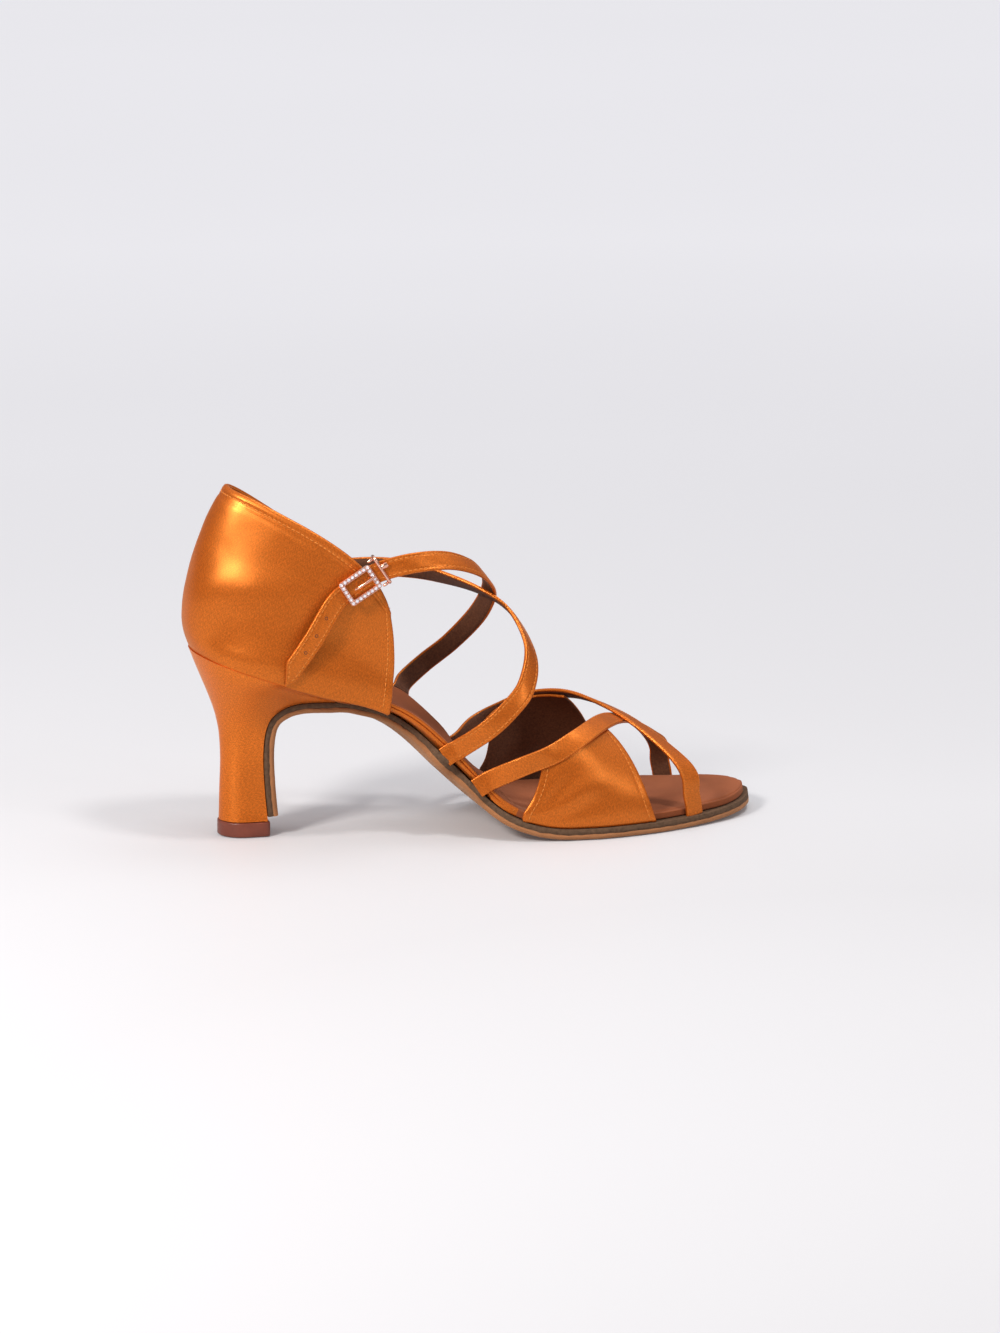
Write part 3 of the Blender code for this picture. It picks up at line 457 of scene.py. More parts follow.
def make(name, b, mats, nodes=(), weld=0.002, angle=38.0, outward=True):
    me = bpy.data.meshes.new(name)
    me.from_pydata([((p[0] - CENTRE_X) * MM, (p[1] - CENTRE_Y) * MM, p[2] * MM) for p in b.v], [], b.f)
    for m in mats:
        me.materials.append(m)
    me.polygons.foreach_set("material_index", b.m)
    layer = me.uv_layers.new(name="weave")
    layer.data.foreach_set("uv", np.array([c for f in b.uv for uv in f for c in uv], float))
    bm = bmesh.new()
    bm.from_mesh(me)
    if weld:
        bmesh.ops.remove_doubles(bm, verts=bm.verts, dist=weld * MM)
        bmesh.ops.dissolve_degenerate(bm, dist=0.0005 * MM, edges=bm.edges)
    if outward:
        bmesh.ops.recalc_face_normals(bm, faces=bm.faces)
    bm.to_mesh(me)
    bm.free()
    me.shade_smooth()
    me.set_sharp_from_angle(angle=math.radians(angle))
    ob = bpy.data.objects.new(name, me)
    bpy.context.scene.collection.objects.link(ob)
    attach(ob, "root")
    if nodes:
        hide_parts(*nodes)
    return ob


def wobble(p, scale, seed=0.0):
    """Smooth noise from -1 to 1 at a place in millimetres."""
    return noise.noise(Vector((p[0] / scale + seed, p[1] / scale - seed * 0.7, p[2] / scale + seed * 1.3)))


def unit(a):
    return a / np.maximum(np.linalg.norm(a, axis=-1, keepdims=True), 1e-9)


class Sheet:
    """A grid of points (along, up, 3) with normals that point away from a middle line."""

    def __init__(self, points, away):
        self.p = np.array(points, float)
        self.away = away

    def relax(self, times, weight=0.5):
        for _ in range(times):
            q = self.p.copy()
            q[1:-1, 1:-1] = (self.p[:-2, 1:-1] + self.p[2:, 1:-1] + self.p[1:-1, :-2] + self.p[1:-1, 2:]) / 4
            q[1:-1, [0, -1]] = (self.p[:-2, [0, -1]] + self.p[2:, [0, -1]]) / 2
            self.p = self.p * (1 - weight) + q * weight

    def frame(self):
        du, dv = unit(np.gradient(self.p, axis=0)), unit(np.gradient(self.p, axis=1))
        n = np.cross(du, dv)
        sure = np.clip(np.linalg.norm(n, axis=-1, keepdims=True) * 1.4, 0, 1) ** 2
        n = unit(n)
        for _ in range(12):  # where the two directions nearly agree, the neighbours tell the normal
            q = np.pad(n, ((1, 1), (1, 1), (0, 0)), mode="edge")
            q = (q[:-2, 1:-1] + q[2:, 1:-1] + q[1:-1, :-2] + q[1:-1, 2:]) / 4
            n = unit(n * sure + q * (1 - sure))
        if (n * (self.p - self.away)).sum() < 0:
            n = -n
        return du, dv, n

    def run(self, axis, end):
        """Distance over the sheet from one of its edges."""
        d = np.linalg.norm(np.diff(self.p, axis=axis), axis=2)
        z = np.zeros_like(d[:1]) if axis == 0 else np.zeros_like(d[:, :1])
        return np.concatenate([z, np.cumsum(d, axis)], axis) if end == 0 else np.concatenate(
            [np.cumsum(d[::-1], axis=0)[::-1], z], 0) if axis == 0 else np.concatenate([np.cumsum(d[:, ::-1], 1)[:, ::-1], z], 1)

    def push(self, amount):
        self.p = self.p + self.frame()[2] * amount[..., None]

    def path(self, axis, end, distance, lift=0.0):
        """Points and normals on the line that runs this far in from an edge. axis 1 is the edges with constant up."""
        run, n = self.run(axis, end), self.frame()[2]
        out = []
        for k in range(self.p.shape[1 - axis]):
            line = (lambda a: a[k]) if axis == 1 else (lambda a: a[:, k])
            r, p, m = line(run), line(self.p), line(n)
            order = np.argsort(r)
            if r[order[-1]] < distance:
                continue
            q = np.array([np.interp(distance, r[order], p[order, c]) for c in range(3)])
            w = np.array([np.interp(distance, r[order], m[order, c]) for c in range(3)])
            out.append((q + w * lift, w / np.linalg.norm(w)))
        return out

    def shell(self, b, wall, mats=(0, 1), rim=5, inner_edge=0.9):
        """A closed body: this sheet outside, its copy a wall inside, half-round rims. wall may be an array."""
        du, dv, n = self.frame()
        wall = np.broadcast_to(wall, self.p.shape[:2])[..., None]
        mid, off = self.p - n * wall / 2, n * wall / 2
        u_run, v_run, v_back = self.run(0, 0), self.run(1, 0), self.run(1, 1)
        ang = [math.pi * (k + 1) / (rim + 1) for k in range(rim)]
        nu, nv = self.p.shape[:2]

        def outward(line, normals, like):
            o = unit(np.cross(unit(np.gradient(line, axis=0)), normals))
            return o if (o * like).sum() > 0 else -o

        v_hi, v_lo = outward(self.p[:, -1], n[:, -1], dv[:, -1]), outward(self.p[:, 0], n[:, 0], -dv[:, 0])
        u_hi, u_lo = outward(self.p[-1], n[-1], du[-1]), outward(self.p[0], n[0], -du[0])

        def loop(i):
            m, o, uv, zone = [], [], [], []
            for j in range(nv):
                m.append(mid[i, j]), o.append(off[i, j]), uv.append((u_run[i, j], v_run[i, j])), zone.append(mats[0])
            for a in ang:
                m.append(mid[i, -1]), o.append(off[i, -1] * math.cos(a) + v_hi[i] * wall[i, -1] / 2 * math.sin(a))
                uv.append((u_run[i, -1], v_run[i, -1] + a)), zone.append(mats[0])
            for j in range(nv - 1, -1, -1):
                m.append(mid[i, j]), o.append(-off[i, j]), uv.append((u_run[i, j], v_run[i, j] + 3.0))
                zone.append(mats[0] if v_back[i, j] < inner_edge else mats[1])
            for a in ang:
                m.append(mid[i, 0]), o.append(-off[i, 0] * math.cos(a) + v_lo[i] * wall[i, 0] / 2 * math.sin(a))
                uv.append((u_run[i, 0], -a)), zone.append(mats[0])
            uv.append(uv[0])
            return np.array(m), np.array(o), uv, zone

        rows, uvs, zones = [], [], []
        ends = [math.pi / 2 * k / 4 for k in (4, 3, 2, 1)]
        for i in range(nu):
            m, o, uv, zone = loop(i)
            e = [u_lo, u_hi][i > 0]
            idx = list(range(nv)) + [nv - 1] * rim + list(range(nv - 1, -1, -1)) + [0] * rim
            half = wall[i][idx] / 2
            if i == 0:
                for a in ends:
                    rows.append(m + o * math.cos(a) + e[idx] * half * math.sin(a)), uvs.append([(x - a, y) for x, y in uv]), zones.append(zone)
            rows.append(m + o), uvs.append(uv), zones.append(zone)
            if i == nu - 1:
                for a in ends[::-1]:
                    rows.append(m + o * math.cos(a) + e[idx] * half * math.sin(a)), uvs.append([(x + a, y) for x, y in uv]), zones.append(zone)
        b.rows(rows, uvs, lambda i, j: zones[i][j], wrap=True)


def stitches(b, path, pitch=2.1, length=1.55, radius=0.2, mat=0, skip=0.5):
    """Thread beads along a line of points and normals."""
    p, n = np.array([q for q, _ in path]), np.array([m for _, m in path])
    run = np.concatenate([[0], np.cumsum(np.linalg.norm(np.diff(p, axis=0), axis=1))])
    count = max(1, int(round((run[-1] - 2 * skip) / pitch)))

    def place(r):
        q = np.array([np.interp(r, run, p[:, c]) for c in range(3)])
        m = np.array([np.interp(r, run, n[:, c]) for c in range(3)])
        return q, m / np.linalg.norm(m)

    for k in range(count):
        r = skip + (run[-1] - 2 * skip) * (k + 0.5) / count
        (a, _), (c, m), (d, _) = place(r - length / 2), place(r), place(r + length / 2)
        t = (d - a) / max(np.linalg.norm(d - a), 1e-6)
        w = np.cross(t, m)
        rows, uvs = [], []
        for f, size, dip in ((-0.5, 0.35, -0.75), (-0.36, 0.9, -0.1), (0, 1.0, 0.25), (0.36, 0.9, -0.1), (0.5, 0.35, -0.75)):
            o = c + t * length * f + m * radius * dip
            rows.append([o + (w * math.cos(x) + m * math.sin(x)) * radius * size for x in (i * math.pi / 3 for i in range(6))])
            uvs.append([(f * length, i * 0.2) for i in range(7)])
        b.rows(rows, uvs, mat, wrap=True)
        for row in (rows[0][::-1], rows[-1]):
            b.face(row, [(0, 0)] * 6, mat)


def edge_normal(s, side):
    """Outward, square to the outline of the last."""
    a, b = min(s + 0.5, SOLE_LENGTH), s - 0.5
    lean = (at(OUTLINE, "s", side, a) - at(OUTLINE, "s", side, b)) / (a - b)
    nx, nz = normal_of(s)
    return (Vector((nz, 0, -nx)) * -lean + Vector((0, SIDES[side], 0))).normalized()


class Ribbon:
    """A strap: frames along a spline on the foot, and a section with a pillow and sewn grooves."""

    def __init__(self, rows, pitch=0.9, width=STRAP_WIDTH, thick=STRAP_THICK, groove=1.35, seed=0.0, tip=None, roots=(None, None), reach=15.0):
        first = spline(rows, 200)
        length = float(np.linalg.norm(np.diff(first[:, :3], axis=0), axis=1).sum())
        self.count = max(8, int(length / pitch))
        self.frames = strap_frames(rows, self.count)
        run = [0.0]
        for (a, *_), (c, *_) in zip(self.frames, self.frames[1:]):
            run.append(run[-1] + (c - a).length)
        self.run, self.length = run, run[-1]
        self.width, self.thick, self.groove, self.seed, self.tip = width, thick, groove, seed, tip
        turned = []
        for (c, t, n, w), r in zip(self.frames, run):
            for root_, away in zip(roots, (r, self.length - r)):
                if root_ and away < reach:
                    k = 1 - step(reach * 0.2, reach, away)
                    n = n * (1 - k) + edge_normal(*root_) * k
            n = (n - t * n.dot(t)).normalized()
            turned.append((c, t, n, t.cross(n)))
        self.frames = turned

    def side(self, sign, r):
        """Half width on one side at distance r from the start."""
        h = self.width / 2
        if self.tip and self.length - r < self.tip[sign > 0]:
            k = max(0.0, (self.length - r) / self.tip[sign > 0])
            goal = -0.42 * h * sign
            return goal + (h - goal) * k
        return h

    def height(self, e, h):
        """Height of the outer face at distance e from the nearer edge."""
        d = self.thick / 2
        v = d if e > 0.55 else d - 0.5 * (1 - math.sqrt(max(0.0, 1 - (1 - e / 0.55) ** 2)))
        if self.groove:
            v += -0.16 * math.exp(-((e - self.groove) / 0.3) ** 2)
            if e > self.groove:
                v += 0.10 * math.sin(math.pi / 2 * min(1.0, (e - self.groove) / max(h - self.groove, 0.3)))
        else:
            v += 0.16 * math.sin(math.pi / 2 * min(1.0, e / h)) - 0.06
        return v

    def body(self, b, mats=(0, 1)):
        n = 26
        rows, uvs, zones = [], [], []
        for (c, t, m, w), r in zip(self.frames, self.run):
            lo, hi = -self.side(-1, r), self.side(1, r)
            mid, h = (lo + hi) / 2, max((hi - lo) / 2, 0.12)
            row, uv, zone = [], [], []
            soft = 0.10 * wobble(c, 7.0, self.seed) + 0.05 * wobble(c, 2.6, self.seed + 3)
            d = self.thick / 2
            for k in range(n + 1):
                f = -math.cos(math.pi * k / n)
                f = 0.55 * f + 0.45 * (2 * k / n - 1)
                e = h * (1 - abs(f))
                v = self.height(e, h) + soft * min(1.0, e)
                row.append(c + w * (mid + f * h) + m * v), uv.append((r, mid + f * h)), zone.append(mats[0])
            for f, v in ((0.995, -0.25), (0.97, -0.55), (0.9, -0.68), (0.86, -0.66), (0.83, -0.78), (0.4, -0.8), (0, -0.8),
                         (-0.4, -0.8), (-0.83, -0.78), (-0.86, -0.66), (-0.9, -0.68), (-0.97, -0.55), (-0.995, -0.25)):
                row.append(c + w * (mid + f * h) + m * v * d / 0.7), uv.append((r, 9 + f * h))
                zone.append(mats[1] if abs(f) <= 0.86 and not f == -0.86 else mats[0])
            uv.append(uv[0])
            rows.append(row), uvs.append(uv), zones.append(zone)
        b.rows(rows, uvs, lambda i, j: zones[i][j], wrap=True)
        for row, uv in ((rows[0][::-1], uvs[0][:-1][::-1]), (rows[-1], uvs[-1][:-1])):
            b.face(row, uv, mats[0])

    def line(self, sign, inset, start, end, lift=0.03):
        """The line a row of stitches follows, inset from one edge."""
        out = []
        for (c, t, m, w), r in zip(self.frames, self.run):
            if start <= r <= self.length - end:
                lo, hi = -self.side(-1, r), self.side(1, r)
                h = (hi - lo) / 2
                if h < inset:
                    continue
                u = (hi - inset) if sign > 0 else (lo + inset)
                out.append((np.array(c + w * u + m * (self.height(inset, h) + lift)), np.array(m)))
        return out


# ---------------------------------------------------------------- materials
class Mat:
    def __init__(self, name, **sockets):
        self.m = bpy.data.materials.new(name)
        self.m.use_nodes = True
        self.t = self.m.node_tree
        self.b = self.t.nodes["Principled BSDF"]
        for k, v in sockets.items():
            self.b.inputs[k.replace("_", " ")].default_value = v

    def node(self, kind, values=None, **props):
        n = self.t.nodes.new(kind)
        for k, v in props.items():
            setattr(n, k, v)
        for k, v in (values or {}).items():
            n.inputs[k].default_value = v
        return n

    def link(self, a, b):
        self.t.links.new(a, b)
        return b

    def uv(self, turn=0.0, scale=(1, 1, 1)):
        u = self.node("ShaderNodeUVMap", uv_map="weave")
        m = self.node("ShaderNodeMapping", {"Rotation": (0, 0, math.radians(turn)), "Scale": scale})
        self.link(u.outputs["UV"], m.inputs["Vector"])
        return m.outputs["Vector"]

    def place(self, scale=1000.0):
        """Object coordinates in millimetres."""
        c = self.node("ShaderNodeTexCoord")
        m = self.node("ShaderNodeMapping", {"Scale": (scale,) * 3})
        self.link(c.outputs["Object"], m.inputs["Vector"])
        return m.outputs["Vector"]

    def noise(self, vector, scale, detail=3.0, rough=0.55):
        n = self.node("ShaderNodeTexNoise", {"Scale": scale, "Detail": detail, "Roughness": rough})
        self.link(vector, n.inputs["Vector"])
        return n.outputs["Fac"]

    def wave(self, vector, period, distortion=0.0):
        n = self.node("ShaderNodeTexWave", {"Scale": 0.314159 / period, "Distortion": distortion, "Detail": 1.0, "Detail Scale": 2.0})
        self.link(vector, n.inputs["Vector"])
        return n.outputs["Fac"]

    def ramp(self, fac, stops):
        r = self.node("ShaderNodeValToRGB")
        e = r.color_ramp.elements
        for k, (at_, col) in enumerate(stops):
            el = e[k] if k < 2 else e.new(at_)
            el.position, el.color = at_, (*col, 1)
        self.link(fac, r.inputs["Fac"])
        return r.outputs["Color"]

    def mix(self, fac, a, b, blend="MIX"):
        n = self.node("ShaderNodeMix", data_type="RGBA", blend_type=blend)
        for sock, val in ((n.inputs[0], fac), (n.inputs[6], a), (n.inputs[7], b)):
            if isinstance(val, (int, float)):
                sock.default_value = val
            elif isinstance(val, tuple):
                sock.default_value = (*val, 1)
            else:
                self.link(val, sock)
        return n.outputs[2]

    def math(self, op, a, b=None):
        n = self.node("ShaderNodeMath", operation=op)
        for sock, val in ((n.inputs[0], a), (n.inputs[1], b)):
            if val is None:
                continue
            if isinstance(val, (int, float)):
                sock.default_value = val
            else:
                self.link(val, sock)
        return n.outputs[0]

    def colour(self, out):
        self.link(out, self.b.inputs["Base Color"])

    def rough(self, out):
        self.link(out, self.b.inputs["Roughness"])

    def bump(self, layers):
        """layers: (height output, strength, distance in mm), laid on one another."""
        last = None
        for height, strength, distance in layers:
            n = self.node("ShaderNodeBump", {"Strength": strength, "Distance": distance * MM})
            self.link(height, n.inputs["Height"])
            if last:
                self.link(last, n.inputs["Normal"])
            last = n.outputs["Normal"]
        self.link(last, self.b.inputs["Normal"])


def satin_material(name, turn, deep=(0.35, 0.055, 0.0035), base=(0.56, 0.095, 0.0065), rough=0.36):
    m = Mat(name, Metallic=0.4, Roughness=rough, IOR=1.9, Specular_IOR_Level=1.0, Sheen_Weight=0.05, Sheen_Roughness=0.4, Anisotropic=0.5)
    m.b.inputs["Sheen Tint"].default_value = (1.0, 0.62, 0.25, 1)
    m.b.inputs["Specular Tint"].default_value = (1.0, 0.55, 0.15, 1)
    tangent = m.node("ShaderNodeTangent", direction_type="UV_MAP", uv_map="weave")
    m.link(tangent.outputs["Tangent"], m.b.inputs["Tangent"])
    twill = m.wave(m.uv(turn), 0.74, 2.2)
    cross = m.wave(m.uv(turn + 90), 0.4, 0.8)
    floats_and_sheen = m.noise(m.uv(turn, (4.0, 0.35, 1)), 0.9, 3.0)
    broad = m.noise(m.place(), 0.05, 2.0)
    col = m.ramp(broad, [(0.3, deep), (0.62, base)])
    col = m.mix(0.28, base, col)
    dark = m.mix(m.math("MULTIPLY", twill, 0.22), col, (0.22, 0.03, 0.001))
    # Along the floats the colour is lightened in streaks: a painted highlight, painted sheen on the satin's floats. The
    # same noise also varies roughness and bump.
    col = m.mix(m.math("MULTIPLY", floats_and_sheen, 0.22), dark, (0.78, 0.22, 0.02))
    grain = m.noise(m.uv(turn, (1.0, 0.6, 1)), 1.7, 2.0, 0.7)
    col = m.mix(1.0, col, m.ramp(grain, [(0.32, (0.66, 0.60, 0.52)), (0.68, (1.20, 1.26, 1.32))]), "MULTIPLY")
    m.colour(col)
    m.rough(m.math("ADD", m.math("MULTIPLY", floats_and_sheen, 0.16), rough - 0.08))
    m.bump([(twill, 0.2, 0.06), (cross, 0.10, 0.03), (floats_and_sheen, 0.42, 0.07)])
    return m.m


SATIN = satin_material("satin_weave", -47)
SATIN_STRAP = satin_material("satin_strap_weave", 52, base=(0.58, 0.100, 0.007), rough=0.33)
# The heel's satin is a lighter copy of the same satin: its brighter base and deep colours are painted light.
SATIN_HEEL_LIT = satin_material("satin_heel_painted_light", -47, deep=(0.44, 0.072, 0.0045), base=(0.70, 0.128, 0.009), rough=0.34)


def lining_material():
    m = Mat("brown_lining", Roughness=0.7, Specular_IOR_Level=0.25)
    g = m.noise(m.place(), 1.3, 4.0)
    m.colour(m.ramp(g, [(0.3, (0.070, 0.024, 0.011)), (0.7, (0.145, 0.052, 0.023))]))
    m.rough(m.math("ADD", m.math("MULTIPLY", g, 0.2), 0.6))
    m.bump([(g, 0.35, 0.12), (m.noise(m.place(), 5.0, 2.0), 0.3, 0.05)])
    return m.m


def sock_material():
    m = Mat("sock_microfibre", Roughness=0.92, Sheen_Weight=0.12, Sheen_Roughness=0.55, Specular_IOR_Level=0.2)
    m.b.inputs["Sheen Tint"].default_value = (0.95, 0.6, 0.42, 1)
    fine, broad = m.noise(m.place(), 3.2, 3.0), m.noise(m.place(), 0.08, 3.0)
    col = m.ramp(broad, [(0.25, (0.185, 0.045, 0.014)), (0.75, (0.265, 0.068, 0.022))])
    m.colour(m.mix(m.math("MULTIPLY", fine, 0.35), col, (0.36, 0.105, 0.038)))
    m.bump([(fine, 0.45, 0.1), (m.noise(m.place(), 9.0, 2.0), 0.25, 0.05)])
    return m.m


def suede_material():
    m = Mat("sole_suede", Roughness=1.0, Sheen_Weight=0.18, Sheen_Roughness=0.6, Specular_IOR_Level=0.15)
    m.b.inputs["Sheen Tint"].default_value = (1.0, 0.82, 0.62, 1)
    fine, nap, broad = m.noise(m.place(), 4.0, 4.0), m.noise(m.place(), 0.9, 4.0), m.noise(m.place(), 0.12, 3.0)
    col = m.ramp(broad, [(0.3, (0.25, 0.090, 0.032)), (0.7, (0.36, 0.136, 0.050))])
    col = m.mix(m.math("MULTIPLY", nap, 0.5), col, (0.22, 0.080, 0.028))
    m.colour(m.mix(m.math("MULTIPLY", fine, 0.4), col, (0.56, 0.28, 0.13)))
    m.bump([(nap, 0.5, 0.25), (fine, 0.7, 0.15)])
    return m.m


def stain_material():
    m = Mat("sole_stained_edge", Roughness=0.8, Specular_IOR_Level=0.25)
    fine, nap = m.noise(m.place(), 3.5, 3.0), m.noise(m.place(), 0.7, 4.0)
    col = m.ramp(nap, [(0.3, (0.055, 0.029, 0.016)), (0.7, (0.125, 0.069, 0.038))])
    m.colour(m.mix(m.math("MULTIPLY", fine, 0.3), col, (0.19, 0.105, 0.055)))
    m.bump([(nap, 0.6, 0.25), (fine, 0.7, 0.15)])
    return m.m


def cap_material():
    m = Mat("cap_plastic", Roughness=0.38, Specular_IOR_Level=0.4)
    g, s = m.noise(m.place(), 0.9, 4.0), m.noise(m.place((1000.0)), 0.15, 2.0)
    m.colour(m.ramp(s, [(0.3, (0.150, 0.034, 0.018)), (0.7, (0.195, 0.046, 0.025))]))
    m.rough(m.math("ADD", m.math("MULTIPLY", g, 0.22), 0.28))
    m.bump([(g, 0.12, 0.08)])
    return m.m


def thread_material(name="thread", base=(0.74, 0.235, 0.04)):
    m = Mat(name, Roughness=0.5, Specular_IOR_Level=0.35)
    m.b.inputs["Specular Tint"].default_value = (1.0, 0.7, 0.4, 1)
    t = m.wave(m.uv(35), 0.22, 0.4)
    m.colour(m.mix(m.math("MULTIPLY", t, 0.5), base, tuple(c * 0.45 for c in base)))
    m.bump([(t, 0.5, 0.05)])
    return m.m


def gold_material():
    m = Mat("rose_gold", Metallic=1.0, Roughness=0.2)
    g = m.noise(m.place(), 0.6, 4.0)
    m.colour(m.ramp(g, [(0.3, (0.78, 0.40, 0.29)), (0.7, (0.88, 0.50, 0.38))]))
    m.rough(m.math("ADD", m.math("MULTIPLY", g, 0.14), 0.12))
    m.bump([(m.noise(m.place(), 2.5, 2.0), 0.06, 0.05)])
    return m.m


def stone_material():
    m = Mat("clear_stone", Metallic=0.55, Roughness=0.04, IOR=1.8, Coat_Weight=1.0, Coat_Roughness=0.02)
    m.colour(m.ramp(m.noise(m.place(), 0.9, 0.0), [(0.3, (0.74, 0.73, 0.80)), (0.7, (0.96, 0.94, 0.98))]))
    return m.m


LINING, SOCK, SUEDE, STAIN, CAP, THREAD, GOLD, STONE = (
    lining_material(), sock_material(), suede_material(), stain_material(), cap_material(), thread_material(), gold_material(), stone_material())
THREAD_SOCK = thread_material("thread_brown", (0.30, 0.10, 0.04))


# ---------------------------------------------------------------- sole
EARS = (("lateral", 106.6, 3.9), ("lateral", 123.8, 4.3), ("medial", 88.8, 4.7), ("medial", 118.9, 3.9))  # where the sole swells over a strap's root


def nose(row, uv, before, count=7):
    """Loops that close the last ring at the toe in a curve that goes on from the outline's slope."""
    ahead = Vector(xz(SOLE_LENGTH) + (0,)) - Vector(xz(SOLE_LENGTH - 2) + (0,))
    ahead = Vector((ahead[0], 0, ahead[1])).normalized()
    yc = (max(p.y for p in row) + min(p.y for p in row)) / 2
    half, wide = ((max(p.y for p in r) - min(p.y for p in r)) / 2 for r in (row, before))
    gone = sum((p - q).dot(ahead) for p, q in zip(row, before)) / len(row)
    reach = min(max(half * gone / max(2 * (wide - half), 1e-3), 0.3), 2.2)
    rows, uvs = [], []
    for k in range(1, count + 1):
        q = 1 - k / count
        rows.append([Vector((p.x, yc + (p.y - yc) * max(q, 0.03), p.z)) + ahead * reach * (1 - q * q) for p in row])
        uvs.append([(u + reach * (1 - q * q), v) for u, v in uv])
    return rows, uvs


def ear(side, t):
    return max(0.0, sum(out * math.exp(-(abs(t - mid) / 5.4) ** 3) for where, mid, out in EARS if where == side))


def stations(start, end, pitch, close=0.0):
    """Distances, packed closer towards the end where the outline rounds off."""
    if not close:
        return list(np.linspace(start, end, int(abs(end - start) / pitch) + 1))
    n = int(close / pitch * 1.9)
    return list(np.linspace(start, end - close, int((end - close - start) / pitch) + 1)) + [
        end - close * (1 - k / n) ** 2 for k in range(1, n + 1)]


def outsole():
    b = Build()
    ts = stations(path_at_height(FLAP_END), SOLE_LENGTH, 1.7, 26.0)
    rows, uvs, zones = [], [], []
    for t in ts:
        (sl, yl), (sm, ym) = sole_edge(t, "lateral"), sole_edge(t, "medial")
        el, em = ear("lateral", t), ear("medial", t)
        sc, yc = (sl + sm) / 2, (yl + ym) / 2
        width = ym - yl
        bulge = 1.6 * math.exp(-((t - 107.5) / 6.0) ** 2)
        c = curl(t)
        belly = 1.0 * step(48, 76, t) * (1 - step(116, 142, t))
        top, low = -GAP, -GAP - SOLE_THICK
        flat = step(163, 168, t) * (1 - step(206, 211, t))
        row, uv, zone = [], [], []

        def put(s, y, n, z, u):
            p = on_path(s, y, n)
            rag = (0.26 if z else 0.12) * (1 - (1 if n < low + 0.05 else 0) * flat)
            shake = wobble(p, 2.1, 5.0 + z) * rag + wobble(p, 0.9, 9.0) * rag * 0.6
            side_out = -1 if y < yc else 1
            if n > top - 0.2 + c:
                shake *= 0.5
            p.y += side_out * shake
            row.append(p), uv.append((t, u)), zone.append(z)

        edge_line = ((0.55, 0.0, 0), (0.12, -0.12, 0), (0.0, -0.5, 0), (-0.1, -1.1, 0), (-0.08, -1.7, 0), (0.16, -2.05, 0), (0.12, -2.2, 1),
                     (-0.14, -2.45, 1), (-0.18, -3.0, 1), (0.02, -3.55, 1), (0.35, -3.95, 1), (0.9, -4.2, 1))
        nip = min(1.0, width * 0.12)
        for inn, d, z in edge_line:
            d += 0.34 * wobble((t, 3.0, 7.0), 2.4, 1.0) * math.exp(-((d + 2.1) / 0.5) ** 2)
            k = -d / SOLE_THICK
            n = top + d + c - bulge * k * (1.0 if d > -3.9 else 0.75)
            f = inn * nip
            put(sl * (1 - 0.02 * f) + sc * 0.02 * f, yl + f - el * (1 - (k * 0.92) ** 2), n, z, d)
        m = 14
        for k in range(1, m):
            g = 2 * k / m - 1
            y = yc + g * (width / 2 - 0.9 * nip)
            s = (sl * (1 - g) + sm * (1 + g)) / 2 if abs(g) > 0.5 else sc + (sm - sl) / 2 * g
            lift = c * (0.25 + 0.75 * abs(g) ** 2.2)
            side_bulge = bulge * max(0.0, -g) ** 1.5 * 0.75
            put(s, y, low + lift - belly * (1 - g * g) - side_bulge, 1, -6 - k)
        for inn, d, z in edge_line[::-1]:
            d += 0.34 * wobble((t, 31.0, 7.0), 2.4, 2.0) * math.exp(-((d + 2.1) / 0.5) ** 2)
            f, k = inn * nip, -d / SOLE_THICK
            put(sm * (1 - 0.02 * f) + sc * 0.02 * f, ym - f + em * (1 - (k * 0.92) ** 2), top + d + c, z, d - 30)
        for g in (0.8, 0.4, 0.0, -0.4, -0.8):
            y = yc + g * (width / 2 - 0.55 * nip)
            put(sc + (sm - sl) / 2 * g, y, top + c * (0.25 + 0.75 * abs(g)) - 0.02, 0, -50 + g)
        uv.append(uv[0])
        rows.append(row), uvs.append(uv), zones.append(zone)
    more, more_uv = nose(rows[-1], uvs[-1], rows[-8])
    rows, uvs, zones = rows + more, uvs + more_uv, zones + [zones[-1]] * len(more)
    b.rows(rows, uvs, lambda i, j: zones[i][j], wrap=True)
    for row, uv in ((rows[0][::-1], uvs[0][:-1][::-1]), (rows[-1], uvs[-1][:-1])):
        b.face(row, uv, 1)
    return make("sole_suede", b, [STAIN, SUEDE], ["outsole"], angle=55)


def insole_edges(s):
    feet = {side: edge(s, side, insole_inset(s)) for side in SIDES}
    cs, cy = ((feet["lateral"][i] + feet["medial"][i]) / 2 for i in (0, 1))
    return feet, cs, cy, feet["medial"][1] - feet["lateral"][1]


def insole_stations(pitch=1.8):
    n = 16
    return [26.0 * (k / n) ** 2 for k in range(n)] + stations(26.0, SOLE_LENGTH, pitch, 26.0)


WRAP_END = 141.0


